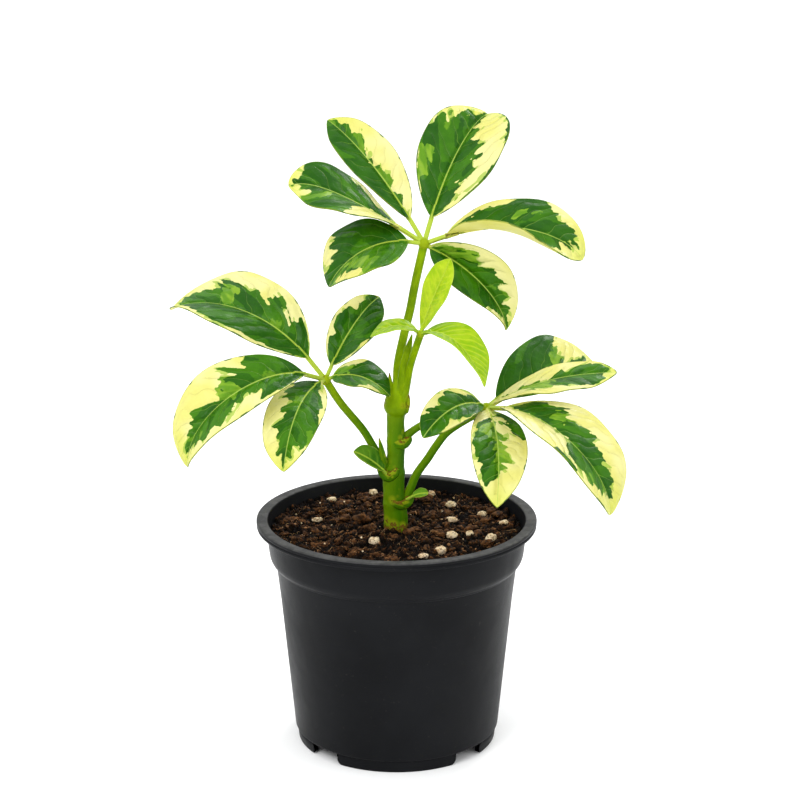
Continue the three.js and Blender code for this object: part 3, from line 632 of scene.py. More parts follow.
def smooth_path(points, count):
    """Evenly spaced points and their headings on a smooth curve through the points."""
    knots = [Vector(p) for p in points]
    knots = [2 * knots[0] - knots[1], *knots, 2 * knots[-1] - knots[-2]]
    dense = []
    for a, b, c, d in zip(knots, knots[1:], knots[2:], knots[3:]):
        ta, tb, tc = ((p - q).length ** 0.5 for p, q in ((b, a), (c, b), (d, c)))
        tangent_b = (b - a) / ta - (c - a) / (ta + tb) + (c - b) / tb
        tangent_c = (c - b) / tb - (d - b) / (tb + tc) + (d - c) / tc
        for k in range(24):
            t = k / 24
            dense.append((2 * t**3 - 3 * t**2 + 1) * b + (t**3 - 2 * t**2 + t) * tb * tangent_b
                         + (3 * t**2 - 2 * t**3) * c + (t**3 - t**2) * tb * tangent_c)
    dense.append(knots[-2])
    steps = [(q - p).length for p, q in zip(dense, dense[1:])]
    run = np.concatenate([[0], np.cumsum(steps)])
    even = np.linspace(0, run[-1], count)
    place = np.stack([np.interp(even, run, [p[k] for p in dense]) for k in range(3)], -1)
    heading = np.gradient(place, axis=0)
    return place, heading / np.linalg.norm(heading, axis=1)[:, None], run[-1]


def oval(wide, deep, angle):
    """The radius of an ellipse at an angle."""
    return wide * deep / math.hypot(deep * math.cos(angle), wide * math.sin(angle))


def pointed(share):
    """How thick a growth is along its run: it swells a little, then runs out to a point."""
    return 0.85 + 0.35 * math.sin(math.pi * share) - 0.72 * share**4


def swollen(share):
    """How thick a collar is along its run: it thins out at both ends."""
    return 0.35 + 0.65 * math.sin(math.pi * share) ** 0.6


def stem_tube(bm, points, girth, around=28, spacing=0.6, rim=0.0):
    """Adds a closed rod along the points. girth(share, mm, angle) is its radius, and rim
    is how brown and corky its upper side is."""
    length = smooth_path(points, 2)[2]
    rings = max(8, round(length / spacing))
    place, heading, length = smooth_path(points, rings + 1)
    side = np.cross(heading, (0, 1, 0))
    side /= np.linalg.norm(side, axis=1)[:, None]
    over = np.cross(side, heading)
    vectors, values = bm.verts.layers.float_vector, bm.verts.layers.float
    streak = vectors.get("stem_place") or vectors.new("stem_place")
    scar = values.get("stem_scar") or values.new("stem_scar")
    grid = bmesh.ops.create_grid(bm, x_segments=around, y_segments=rings + 2, size=0.5)["verts"]
    for v in grid:
        row = round((v.co.y + 0.5) * (rings + 2))
        ring = min(max(row - 1, 0), rings)
        angle = 2 * math.pi * (v.co.x + 0.5)
        share = ring / rings
        radius = 0 if row in (0, rings + 2) else girth(share, share * length, angle)
        out = math.cos(angle) * side[ring] + math.sin(angle) * over[ring]
        spot = Vector(place[ring] + radius * out)
        v[streak] = (math.cos(angle), math.sin(angle), share * length)
        ragged = 0.55 + 0.9 * noise.noise(spot * 0.9)
        corky = 2.4 * rim * (math.cos(angle) - 0.4) * ragged if rim else -1.0
        v[scar] = max(corky, *(1 - (spot - Vector(mark[:3])).length / mark[3] for mark in SCARS))
        v.co = spot * MM
    bmesh.ops.remove_doubles(bm, verts=grid, dist=1e-6)


def stem_skin():
    """Green skin with lengthwise streaks, pale pores, brown corky scars, and painted light on its left
    side.
    """
    material, skin, finish, place = new_material("stem_skin", 0.4, Specular_IOR_Level=0.04)
    seen = attribute_of(finish, "stem_place")
    streak_place = finish.add("VectorMath", Vector=seen)
    streak_place.operation = "MULTIPLY"
    streak_place.inputs[1].default_value = (1.6 * MM, 1.6 * MM, 0.09 * MM)
    streaks = finish.blotches(streak_place.outputs[0], 0.7, 0.36, 0.66)
    cloud = finish.blotches(place, 7.0, 0.36, 0.64)
    pores = finish.blotches(place, 0.55, 0.66, 0.74)
    height_mm = finish.calc("DIVIDE", finish.parts(place)["Z"], MM)
    up = finish.grade(height_mm, 122, 140)
    colour = finish.blend(up, (0.042, 0.15, 0.0006, 1), (0.25, 0.385, 0.0015, 1))
    # Painted light: the skin is made lighter on the side that faces left on the upright trunk.
    broad = finish.parts(seen)["X"]
    painted_left_light = finish.grade(finish.times_plus(cloud, 0.5, broad), -0.5, 1.3)
    colour = finish.blend(finish.times(painted_left_light, 0.6), colour, (0.21, 0.33, 0.002, 1))
    colour = finish.blend(finish.times(streaks, 0.3), colour, (0.14, 0.25, 0.002, 1))
    colour = finish.blend(finish.times(cloud, 0.35), colour, (0.028, 0.11, 0.0006, 1))
    colour = finish.blend(finish.times(pores, 0.4), colour, (0.3, 0.42, 0.05, 1))
    marks = attribute_of(finish, "stem_scar", "Fac")
    crust = finish.blotches(place, 0.9, 0.2, 0.8)
    near = finish.calc("ADD", marks, finish.times_plus(crust, 1.1, -0.75))
    foot = finish.times_plus(finish.grade(height_mm, SOIL_LEVEL + 4.9, SOIL_LEVEL + 0.9), 0.9,
                       finish.times_plus(crust, 1.0, -1.0))
    brown = finish.grade(finish.calc("MAXIMUM", near, foot), 0.1, 0.4)
    halo = finish.grade(marks, -0.8, 0.3, 0, 0.6)
    colour = finish.blend(halo, colour, (0.33, 0.38, 0.01, 1))
    colour = finish.blend(finish.times(brown, 0.85), colour, (0.15, 0.055, 0.012, 1))
    finish.put(skin["Base Color"], colour)
    finish.put(skin["Roughness"], finish.grade(brown, 0, 1, 0.36, 0.75))
    height = finish.times_plus(streaks, 0.07, finish.times(brown, 0.2))
    finish.emboss(skin, finish.times_plus(pores, 0.05, height))
    return material


def trunk():
    heights, radii, middles = zip(*TRUNK_OUTLINE)

    def girth(share, run, angle):
        height = heights[0] + run
        ripple = 0.12 * noise.noise(Vector((2 * math.cos(angle), 2 * math.sin(angle), height * 0.35)))
        return np.interp(height, heights, radii) + ripple

    bm = bmesh.new()
    stations = np.linspace(heights[0], heights[-1], 24)
    stem_tube(bm, [(np.interp(z, heights, middles), 0, z) for z in stations], girth, around=48)
    for wide, deep, points in GROWTHS:
        stem_tube(bm, points, lambda share, run, angle: pointed(share) * oval(wide, deep, angle),
                  around=24, spacing=0.4)
    for tall, deep, rim, points in COLLARS:
        stem_tube(bm, points, lambda share, run, angle: swollen(share) * oval(tall, deep, angle),
                  around=24, spacing=0.25, rim=rim)
    bmesh.ops.recalc_face_normals(bm, faces=bm.faces[:])
    return piece("trunk_stem", bm, green_stem, "trunk", slot="stem")


green_stem = stem_skin()
trunk()


# ---- The leaf stalks: green and round, a little wider where they leave the trunk,
# each ending in the knob that its leaflets grow from. A side shoot ends in a bud.

HUBS = {
    "top": (10.2, -4, 197), "left": (-26.8, -2, 144.3), "right": (34.2, 2, 132.2),
    "young": (8.9, -15, 165.4), "small_left": (-3, -3.4, 106.5), "small_right": (3.6, -3, 97),
}
STALKS = {  # radius, radius of the knob, and the middle line to the knob
    "petiole_top": (1.6, 2.2, [(0.6, 0.4, 136), (0.4, 0.3, 142), (0.6, 0, 150), (2.9, -0.8, 162),
                               (5.1, -1.8, 171.5), (6.8, -2.8, 181), HUBS["top"]]),
    "petiole_young": (1.4, 1.55, [(2.5, -1.6, 136), (3.8, -3.6, 143), (5.1, -7.2, 151),
                                  (6.9, -11, 158.2), HUBS["young"]]),
    "petiole_left": (1.5, 2.1, [(-0.4, 0, 103), (-4.3, -0.2, 109), (-9.1, -0.6, 118),
                                (-12.5, -0.9, 124), (-21.4, -1.6, 135.5), HUBS["left"]]),
    "petiole_right": (1.55, 2.1, [(0, 0, 91), (4.2, 0.1, 98), (7.5, 0.3, 106), (12, 0.6, 112.6),
                                  (15.2, 0.8, 117.6), (19.5, 1.1, 123), HUBS["right"]]),
    "side_shoot": (1.3, 0, [(-0.2, 0.3, 116), (3.6, 0.6, 121.3), (9, 1, 125.4), (13, 1.5, 127.2),
                            (17, 2, 129.6)]),
}


def leaf_stalk(name, thick, knob, points):
    def girth(share, run, angle):
        if not knob and share > 0.7:
            return thick * 1.15 * math.sqrt(max(1.02 - ((share - 0.7) / 0.3) ** 2, 0))
        return thick * (1 + 0.35 * (1 - share) ** 6)

    def shoot_girth(share, run, angle):
        return girth(share, run, angle) * (1 + 0.55 * (1 - share) ** 2.5)

    bm = bmesh.new()
    stem_tube(bm, points, girth if knob else shoot_girth)
    if knob:
        ball = bmesh.ops.create_icosphere(bm, subdivisions=4, radius=knob * MM)["verts"]
        bmesh.ops.translate(bm, verts=ball, vec=Vector(points[-1]) * MM)
    bmesh.ops.recalc_face_normals(bm, faces=bm.faces[:])
    return piece(name + "_stem", bm, green_stem, name, slot="stem")


for stalk_name, stalk in STALKS.items():
    leaf_stalk(stalk_name, *stalk)


# ---- The top leaf: six leathery leaflets, folded a little along the midrib, on stalks
# of their own. Green tissue spreads from the midrib along the side veins in lobes,
# and the rest of the blade is pale yellow. It grew this way: nothing is painted on.

BLADE_THICK, RIB_RADIUS = 0.42, 0.95  # in mm
VEIN_SLANT = 0.85  # how far a side vein runs forward for each mm that it runs out
VEIN_ARCH = 0.014  # how much more, for each square mm
GRID_STEP = 0.45  # the blade's mesh, in mm
GREENS_OVERLAP = 1.5  # how far in mm two greens that meet run into each other
BORDER_STEP = 0.06  # between the points that a border is bent at, in shares of the blade
FAR_INSIDE = 5  # in mm, where a point counts as deep in its tissue
RIB_STEPS = 240  # that the midrib's bend is added up from
MARGIN_WAVE, WAVES = 0.035, 2.5  # how high the margin waves, in half widths, and how often
PHASE_STEP = 1.7  # how far the waves of two leaflets are out of step
ALL_LEFT, ALL_RIGHT = [(-110, -5), (-110, 105)], [(110, -5), (110, 105)]
# Each leaflet: how it heads, droops, rolls and cups in degrees, its sizes in mm, how
# light its greens are, the border of the green tissue left and right of the midrib,
# and patches of another tissue. The borders are in percent of the half width and of
# the length. At 110 a border lies outside the blade, which is green to its margin.
TOP_LEAFLETS = {
    "leaflet_top_1": dict(
        bearing=138, rise=49, turn=4, droop=17, hook=8, stalk=11, length=52.5, left=9, right=10.5,
        widest=0.56, roll=28, twist=11, cups=(20, 3, 12, 11), tones=(0.1, 0.5),
        green=(ALL_LEFT,
               [(10, -5), (10, 10), (40, 18), (10, 22), (33, 37), (12, 42), (18, 48), (2, 50), (2, 57),
                (35, 65), (50, 75), (32, 78), (40, 85), (50, 93), (30, 102)]),
        patches=[]),
    "leaflet_top_2": dict(
        bearing=178, rise=33, turn=5, droop=13, hook=39, stalk=11, length=44.5, left=15.5, right=13,
        widest=0.59, roll=25, twist=27, cups=(21, 8, -6, 12), tones=(0.35, 0.15),
        green=([(0, -5), (0, 33), (-110, 52), (-110, 88), (-80, 90), (-65, 85), (-50, 80), (-35, 83),
                (-30, 88), (-20, 90), (0, 93)],
               [(50, -5), (55, 10), (65, 25), (72, 36), (82, 42), (85, 50), (110, 56), (110, 87),
                (45, 90), (30, 97), (20, 105)]),
        patches=[("light", [(-10, 60), (-55, 72), (-60, 82), (-40, 78), (-15, 68)])]),
    "leaflet_top_3": dict(
        bearing=203, rise=11, turn=-17, droop=75, hook=2, stalk=6.5, length=36.5, left=15.5,
        right=15.5, widest=0.56, roll=22, twist=-19, cups=(0, 14, 11, 11), tones=(0.5, 0.05),
        green=(ALL_LEFT, ALL_RIGHT),
        patches=[("light", [(-70, 50), (-30, 50), (-5, 60), (-10, 74), (-50, 70), (-72, 60)]),
                 ("yellow", [(-110, 90), (-60, 90), (-45, 80), (-60, 72), (-75, 60), (-85, 63),
                             (-110, 65)]),
                 ("yellow", [(45, 72), (50, 80), (60, 88), (90, 93), (110, 85), (110, 65), (85, 62),
                             (80, 70), (60, 70)])]),
    "leaflet_top_4": dict(
        bearing=59, rise=58, turn=-7, droop=26, hook=21, stalk=10.5, length=52, left=15, right=20.5,
        widest=0.61, roll=-13, twist=5, cups=(15, 25, 11, 24), tones=(0.3, 0.2),
        green=([(-110, -5), (-110, 72), (-90, 78), (-78, 82), (-68, 76), (-60, 74), (-58, 82),
                (-62, 90), (-50, 94), (-38, 86), (-30, 92), (-25, 98), (0, 100)],
               [(90, -5), (60, 10), (60, 25), (40, 28), (55, 33), (58, 42), (42, 47), (60, 52),
                (35, 55), (52, 62), (20, 66), (25, 77), (5, 80), (12, 87), (0, 100)]),
        patches=[("yellow", [(-110, 13), (-88, 16), (-85, 30), (-68, 33), (-70, 47), (-110, 50)]),
                 ("light", [(-97, 26), (-60, 30), (-58, 50), (-95, 50)]),
                 ("yellow", [(-110, 62), (-93, 66), (-93, 78), (-110, 80)]),
                 ("dark", [(95, 15), (95, 45), (110, 45), (110, 15)]),
                 ("dark", [(95, 65), (95, 95), (110, 95), (110, 65)])]),
    "leaflet_top_5": dict(
        bearing=-3, rise=20, turn=1, droop=52, hook=25, stalk=8.5, length=54.5, left=15, right=12.5,
        widest=0.59, roll=-27, twist=-7, cups=(15, 10, 78, -1), sag=0.95, tones=(0.15, 0.3),
        green=([(0, -5), (-30, 5), (-75, 10), (-70, 20), (-85, 32), (-75, 42), (-110, 50), (-110, 62),
                (-85, 68), (-62, 73), (-55, 76), (-68, 85), (-50, 85), (-45, 92), (-25, 93), (-10, 86),
                (0, 90)],
               [(0, -5), (2, 48), (30, 53), (50, 60), (65, 68), (50, 72), (45, 77), (25, 83), (15, 80),
                (5, 85), (0, 90)]),
        patches=[("light", [(-65, 66), (-50, 60), (-30, 45), (-45, 46), (-60, 55)]),
                 ("dark", [(85, 85), (85, 90), (110, 90), (110, 84)])]),
    "leaflet_top_6": dict(
        bearing=-7, rise=-25, turn=21, droop=41, hook=19, stalk=2.5, length=44.5, left=12.5, right=9,
        widest=0.44, roll=-71, twist=40, cups=(47, 23, 21, 30), tones=(0.45, 0.2),
        green=([(-20, -5), (-55, 10), (-50, 15), (-60, 20), (-50, 25), (-65, 33), (-35, 40), (-60, 50),
                (-60, 63), (-35, 60), (-45, 75), (-30, 78), (-38, 83), (-30, 88), (-50, 97),
                (-30, 100)],
               [(110, -5), (110, 68), (75, 70), (70, 78), (50, 78), (55, 86), (30, 86), (25, 95),
                (5, 100)]),
        patches=[("light", [(-10, 6), (-50, 10), (-62, 32), (-40, 38), (-20, 25)])]),
}


def heading_of(bearing, rise):
    """Unit vectors along bearings and rises in degrees, one row for each pair."""
    b, r = np.radians(bearing), np.radians(rise)
    return np.stack([np.cos(r) * np.cos(b), np.cos(r) * np.sin(b), np.sin(r) + 0 * b], -1)


def blade_outline(leaf, v):
    """The blade's half width at shares v of its length, as a share of the widest."""
    swell = 1.4 * leaf["widest"]
    widest = leaf["widest"] ** swell * (1 - leaf["widest"]) ** (1.4 - swell)
    v = np.clip(v, 0, 1)
    pointed = 1 - 0.3 * np.clip((v - 0.82) / 0.18, 0, 1) ** 2
    return pointed * v**swell * (1 - v) ** (1.4 - swell) / widest


def blade_axes(leaf, v):
    """Which way the midrib heads at shares v, and the blade's side and face there."""
    bearing = leaf["bearing"] + leaf["turn"] * v
    rise = leaf["rise"] - leaf["droop"] * v - leaf["hook"] * v**6
    ahead, across = heading_of(bearing, rise), heading_of(bearing - 90, 0 * v)
    up = np.cross(across, ahead)
    roll = np.radians(leaf["roll"] + leaf["twist"] * (v - 0.5))[:, None]
    return ahead, across * np.cos(roll) + up * np.sin(roll), up * np.cos(roll) - across * np.sin(roll)


def blade_surface(leaf, phase, s, v):
    """The blade's middle at shares s across and v along, which way it faces, and its widths."""
    walk = (np.arange(RIB_STEPS) + 0.5) / RIB_STEPS
    rib = np.cumsum(blade_axes(leaf, walk)[0] * leaf["length"] / RIB_STEPS, 0)
    rib = np.vstack([np.zeros(3), rib])
    ahead = blade_axes(leaf, np.zeros(1))[0]
    rib += np.array(HUBS[leaf["hub"]]) + ahead * leaf["stalk"]
    share = np.clip(v, 0, 1)
    along = np.linspace(0, 1, RIB_STEPS + 1)
    place = np.stack([np.interp(share, along, rib[:, k]) for k in range(3)], -1)
    place += np.minimum(v, 0)[:, None] * leaf["length"] * ahead
    _, side, face = blade_axes(leaf, share)

    right = s > 0
    outline = blade_outline(leaf, v)
    slim = RIB_RADIUS * min(1, 0.55 + leaf["length"] / 100)
    rib_radius = slim * np.where(v < 0, 1, 1 - 0.85 * share)
    half = np.maximum(np.where(right, leaf["right"], leaf["left"]) * outline,
                      np.where(share < 0.5, rib_radius, 0.12))
    base_l, tip_l, base_r, tip_r = leaf["cups"]
    cup = np.where(right, base_r + (tip_r - base_r) * share, base_l + (tip_l - base_l) * share)
    cup = np.where(v > 0, np.radians(cup), 0)
    reach = np.abs(s) * half
    wave = MARGIN_WAVE * np.sin(2 * math.pi * WAVES * v + phase) * np.where(right, 1, -0.8) * (v > 0)
    belly = np.where(right, leaf.get("sag", -0.1), -0.1)
    lift = reach * np.sin(cup) + half * outline * (belly * (s * s - np.abs(s)) + wave * s * s)
    place = place + side * (np.sign(s) * reach * np.cos(cup))[:, None] + face * lift[:, None]
    return place, face, half, rib_radius, reach


def inside_by(area, x, y):
    """How far in mm the points lie inside a closed outline, or minus how far outside."""
    ax, ay = np.array(area).T
    bx, by = np.roll(ax, -1), np.roll(ay, -1)
    px, py = x[:, None], y[:, None]
    run = np.maximum((bx - ax) ** 2 + (by - ay) ** 2, 1e-9)
    t = np.clip(((px - ax) * (bx - ax) + (py - ay) * (by - ay)) / run, 0, 1)
    far = np.hypot(px - ax - t * (bx - ax), py - ay - t * (by - ay)).min(1)
    crossed = (ay > py) != (by > py)
    left_of = px < ax + (py - ay) * (bx - ax) / np.where(by == ay, 1, by - ay)
    return np.where((crossed & left_of).sum(1) % 2, far, -far)


def tissues_of(leaf, s, v):
    """How far in mm each point lies inside the dark green tissue, and inside any green."""
    def laid_flat(s, v):
        wide = np.where(s > 0, leaf["right"], leaf["left"]) * np.maximum(blade_outline(leaf, v), 0.25)
        return np.stack([s * wide, v * leaf["length"]], -1)

    def border(points):
        corners = np.array(points) / 100
        bend = [a + (b - a) * t for a, b in zip(corners, np.roll(corners, -1, 0))
                for t in np.arange(0, 1, BORDER_STEP / np.hypot(*(b - a)))]
        return laid_flat(*np.array(bend).T)

    x, y = laid_flat(s, v).T
    left, right = leaf["green"]
    dark = inside_by(border(left + right[::-1]), x, y)
    green = dark
    for tone, points in leaf["patches"]:
        within = inside_by(border(points), x, y)
        dark = np.maximum(dark, within) if tone == "dark" else np.minimum(dark, -within)
        # Two greens that meet leave no yellow seam between them.
        green = (np.minimum(green, -within) if tone == "yellow"
                 else np.maximum(np.maximum(green, within), np.minimum(green, within) + GREENS_OVERLAP))
    return np.clip(dark, -FAR_INSIDE, FAR_INSIDE), np.clip(green, -FAR_INSIDE, FAR_INSIDE)


def leaflet(name, leaf, phase, materials, slot):
    rows = max(24, round(leaf["length"] / GRID_STEP))
    columns = 2 * max(8, round((leaf["left"] + leaf["right"]) / 2 / GRID_STEP))
    stalk_rows = max(2, round(leaf["stalk"] / 0.9))
    bm = bmesh.new()
    grid = bmesh.ops.create_grid(bm, x_segments=columns, y_segments=rows + stalk_rows,
                                 size=0.5)["verts"]
    flat = np.array([v.co for v in grid])
    s = np.sign(flat[:, 0]) * np.abs(flat[:, 0] * 2) ** 1.15
    station = np.round((flat[:, 1] + 0.5) * (rows + stalk_rows)) - stalk_rows
    tau = np.clip(station / rows, 0, 1)
    v = np.where(station < 0, station / stalk_rows * leaf["stalk"] / leaf["length"],
                 0.6 * tau + 0.2 * (1 - np.cos(np.pi * tau)))
    place, face, half, rib_radius, reach = blade_surface(leaf, phase, s, v)
    round_rib = np.sqrt(np.maximum(rib_radius**2 - reach**2, 0))
    above = np.where(v < 0.1, np.maximum(round_rib, BLADE_THICK / 2), BLADE_THICK / 2)
    thick = above + np.maximum(round_rib, BLADE_THICK / 2)
    for vert, spot in zip(grid, place + face * above[:, None]):
        vert.co = spot * MM
    made = piece(name + "_blade", bm, materials, name, slot=slot)

    along = v * leaf["length"]
    root = (along - VEIN_SLANT * reach - VEIN_ARCH * reach**2) / leaf.get("vein_gap", 6.5)
    tone = np.where(s > 0, leaf["tones"][1], leaf["tones"][0])
    for told, what in (("leaf_place", [np.sign(s) * reach, along, root]),
                       ("leaf_tissue", [*tissues_of(leaf, s, v), half - reach]),
                       ("leaf_tone", [tone, v, 0 * v])):
        layer = made.data.attributes.new(told, "FLOAT_VECTOR", "POINT")
        layer.data.foreach_set("vector", np.stack(what, -1).ravel())
    depth = made.vertex_groups.new(name="thickness")
    for i, t in enumerate(thick / thick.max()):
        depth.add([i], float(t), "REPLACE")
    shell = made.modifiers.new("thickness", "SOLIDIFY")
    shell.thickness, shell.offset, shell.vertex_group = thick.max() * MM, -1, "thickness"
    shell.material_offset = 1
    return made


def grow(hub, leaflets, before, materials, slot="leaf", **alike):
    """Makes the leaflets of a hub, with what they have alike, after those that came before."""
    for number, (name, leaf) in enumerate(leaflets.items(), before):
        leaflet(name, {"hub": hub, **alike, **leaf}, PHASE_STEP * number, materials, slot)


def side_veins_effect():
    """Side veins that arch forward from the midrib, the midrib, and the pillows between them."""
    group, effect, given, result = new_effect(
        "side_veins", {"Place": "Vector", "Leaf Place": "Vector", "Margin": "Float"},
        {"Vein": "Float", "Midrib": "Float", "Height": "Float", "Off Vein": "Float"})
    across, along, root = effect.parts(given["Leaf Place"])
    reach = effect.calc("ABSOLUTE", across)
    # Each half of the blade has its own veins, a little uneven in their spacing and run.
    drift = effect.blotches(given["Place"], 11.0, 0.25, 0.75, 1.0)
    row = effect.times_plus(effect.calc("GREATER_THAN", across, 0), 0.37,
                      effect.times_plus(drift, 0.7, root))
    off_vein = effect.calc("SUBTRACT", 0.5, effect.calc(
        "ABSOLUTE", effect.calc("SUBTRACT", effect.calc("FRACT", row), 0.5)))
    inner = effect.grade(given["Margin"], 0.8, 3.5)
    vein = effect.grade(off_vein, 0.035, 0.008)
    thinning = effect.grade(reach, 10, 1, 0.25, 1)
    effect.put(result["Vein"], effect.times(effect.times(vein, inner), thinning))
    rib_width = effect.calc("MAXIMUM", effect.times_plus(along, -0.0055, 0.35), 0.1)
    midrib = effect.grade(effect.calc("SUBTRACT", reach, rib_width), 0.1, -0.08)
    effect.put(result["Midrib"], midrib)
    pillow = effect.times(effect.calc("POWER", off_vein, 0.55), inner)
    trough = effect.grade(reach, 0.2, 1.8)
    trough = effect.times(trough, 0.25)
    effect.put(result["Height"], effect.times_plus(pillow, 0.4, trough))
    effect.put(result["Off Vein"], off_vein)
    return group


def leaf_tissue_effect():
    """The blade's colour: dark green, light green and pale yellow tissue, midrib and edge."""
    group, effect, given, result = new_effect(
        "leaf_tissue", {"Place": "Vector", "Leaf Place": "Vector", "Tissue": "Vector", "Tone": "Float",
                        "Run": "Float", "Vein": "Float", "Midrib": "Float", "Off Vein": "Float"},
        {"Colour": "Color"})
    place = given["Place"]
    across, along, root = effect.parts(given["Leaf Place"])
    dark, any_green, margin = effect.parts(given["Tissue"])
    half = effect.calc("SIGN", across)

    def ribbons(stretch, rate, shift):
        """Noise places drawn out along the side veins."""
        return effect.add("CombineXYZ", X=effect.times(across, stretch * MM),
                          Y=effect.times(root, rate * MM),
                          Z=effect.times(half, shift * MM)).outputs[0]

    # The green ends in rounded lobes, one for each side vein, with smaller notches in them.
    finger = effect.grade(given["Off Vein"], 0.08, 0.42, 1, -1)
    strength = effect.blotches(ribbons(0.1, 1.7, 7), 1.0, 0.3, 0.7, 0.0)
    lobe = effect.times(finger, effect.times_plus(strength, 0.85, 0.1))
    ripple = effect.blotches(ribbons(0.2, 1.8, 3), 1.0, 0.25, 0.75, 1.0)
    notch = effect.blotches(place, 1.7, 0.25, 0.75, 1.5)
    torn = effect.times_plus(ripple, 0.9, effect.times_plus(notch, 0.75, -0.83))
    torn = effect.times(effect.calc("ADD", torn, lobe), effect.grade(margin, 0.8, 3.5, 0.3, 1))
    in_dark = effect.grade(effect.calc("ADD", dark, torn), -0.08, 0.08)
    # Here and there the green fades out into the yellow instead of ending sharply.
    soft = effect.blotches(place, 9.0, 0.54, 0.7, 0.5)
    fade = effect.times_plus(soft, 0.8, 0.08)
    in_any = effect.grade(effect.calc("ADD", any_green, torn), effect.times(fade, -1), fade)

    # Where only some layers of cells are green, the border has a lighter fringe.
    layer = effect.blotches(ribbons(0.16, 1.4, 11), 1.0, 0.5, 0.62, 1.0)
    outlying = effect.times_plus(layer, 2.4, effect.times(torn, 0.8))
    fringe = effect.grade(effect.calc("ADD", any_green, outlying), 0.85, 1.0)

    # The green itself is laid down in overlapping lobes of three shades.
    shade = effect.blotches(ribbons(0.09, 0.55, 5), 1.0, 0.25, 0.75, 1.0)
    own_tone = effect.times_plus(given["Tone"], 0.95, -0.06)
    own_tone = effect.times_plus(notch, 0.06, own_tone)
    shade = effect.times_plus(shade, 0.62, own_tone)
    cloud = effect.blotches(place, 8.0, 0.35, 0.68, 2.0)
    deep = effect.blend(cloud, (0.012, 0.077, 0.001, 1), (0.021, 0.104, 0.0012, 1))
    leafy = effect.blend(cloud, (0.029, 0.126, 0.0016, 1), (0.043, 0.16, 0.002, 1))
    fresh_green = effect.blend(cloud, (0.085, 0.22, 0.006, 1), (0.13, 0.28, 0.012, 1))
    green = effect.blend(effect.grade(shade, 0.5, 0.545), deep, leafy)
    green = effect.blend(effect.grade(shade, 0.8, 0.84), green, fresh_green)
    sheer = effect.blotches(ribbons(0.2, 1.5, 13), 1.0, 0.4, 0.6, 1.0)
    thin_green = effect.blend(sheer, (0.095, 0.235, 0.008, 1), (0.19, 0.34, 0.02, 1))
    warm = effect.blotches(place, 14.0, 0.38, 0.68, 1.0)
    yellow = effect.blend(warm, (0.68, 0.65, 0.27, 1), (0.62, 0.59, 0.16, 1))
    # Towards its tip, and a little towards its foot, the yellow has some green in it.
    ends = effect.calc("ADD", effect.grade(given["Run"], 0.78, 1, 0, 0.7),
                       effect.grade(given["Run"], 0.16, 0, 0, 0.3))
    yellow = effect.blend(ends, yellow, (0.52, 0.56, 0.05, 1))

    colour = effect.blend(effect.times(fringe, 0.75), yellow, (0.25, 0.4, 0.03, 1))
    colour = effect.blend(in_any, colour, thin_green)
    colour = effect.blend(in_dark, colour, green)
    drawn = effect.times(given["Vein"], effect.times_plus(in_any, 0.34, 0.06))
    colour = effect.blend(drawn, colour, (0.2, 0.36, 0.04, 1))
    rib_colour = effect.blend(effect.grade(along, 0, 26), (0.36, 0.47, 0.04, 1), (0.36, 0.5, 0.08, 1))
    stalk = effect.grade(along, 1.5, -1.5)
    rib = effect.calc("MAXIMUM", effect.times(given["Midrib"], 0.85), stalk)
    colour = effect.blend(rib, colour, rib_colour)

    # A thin olive line runs round the margin, with short dashes of dark green on it.
    away = effect.grade(along, 0, 3, 0, 0.85)
    line = effect.times(effect.grade(margin, 0.24, 0.1), away)
    colour = effect.blend(line, colour, (0.22, 0.27, 0.02, 1))
    frayed = effect.blotches(place, 4.5, 0.52, 0.66, 1.0)
    dashes = effect.grade(effect.times_plus(frayed, -0.55, margin), 0.02, -0.08)
    colour = effect.blend(effect.times(dashes, away), colour, (0.025, 0.1, 0.003, 1))
    effect.put(result["Colour"], colour)
    return group


def blade_facts(finish, place):
    """What the mesh tells of the blade: its leaf place, tissue, tone, run, margin and veins."""
    leaf_place, tissue = attribute_of(finish, "leaf_place"), attribute_of(finish, "leaf_tissue")
    tone, run, _ = finish.parts(attribute_of(finish, "leaf_tone"))
    margin = finish.parts(tissue)["Z"]
    veins = finish.shared(side_veins, Place=place, Leaf_Place=leaf_place, Margin=margin)
    return leaf_place, tissue, tone, run, margin, veins


def leaf_skin(name, gloss, fade, fade_share, relief):
    """One face of a variegated blade; fade is the colour that veils it."""
    material, skin, finish, place = new_material(name, gloss, Specular_IOR_Level=0.11)
    leaf_place, tissue, tone, run, _, veins = blade_facts(finish, place)
    blade = finish.shared(leaf_tissue, Place=place, Leaf_Place=leaf_place, Tissue=tissue, Tone=tone,
                          Run=run, Vein=veins["Vein"], Midrib=veins["Midrib"],
                          Off_Vein=veins["Off Vein"])
    finish.put(skin["Base Color"], finish.blend(fade_share, blade["Colour"], fade))
    wax = finish.blotches(place, 5.0, 0.3, 0.7)
    finish.put(skin["Roughness"], finish.grade(wax, 0, 1, gloss - 0.06, gloss + 0.08))
    swell = finish.blotches(place, 7.0, 0.2, 0.8)
    pores = finish.blotches(place, 0.35, 0.3, 0.7)
    height = finish.times_plus(swell, 0.35, finish.times(veins["Height"], relief))
    height = finish.times_plus(pores, 0.008, height)
    finish.emboss(skin, height)
    return material


side_veins = side_veins_effect()
leaf_tissue = leaf_tissue_effect()
variegated = [leaf_skin("leaf_face", 0.34, (0.4, 0.5, 0.2, 1), 0.0, 1.9),
              leaf_skin("leaf_back", 0.5, (0.66, 0.63, 0.09, 1), 0.35, -1.0)]
grow("top", TOP_LEAFLETS, 0, variegated)


# ---- The left leaf: five leaflets of the same kind, low on the trunk. The nearest
# ones hang forward, and the middle one stands up behind.

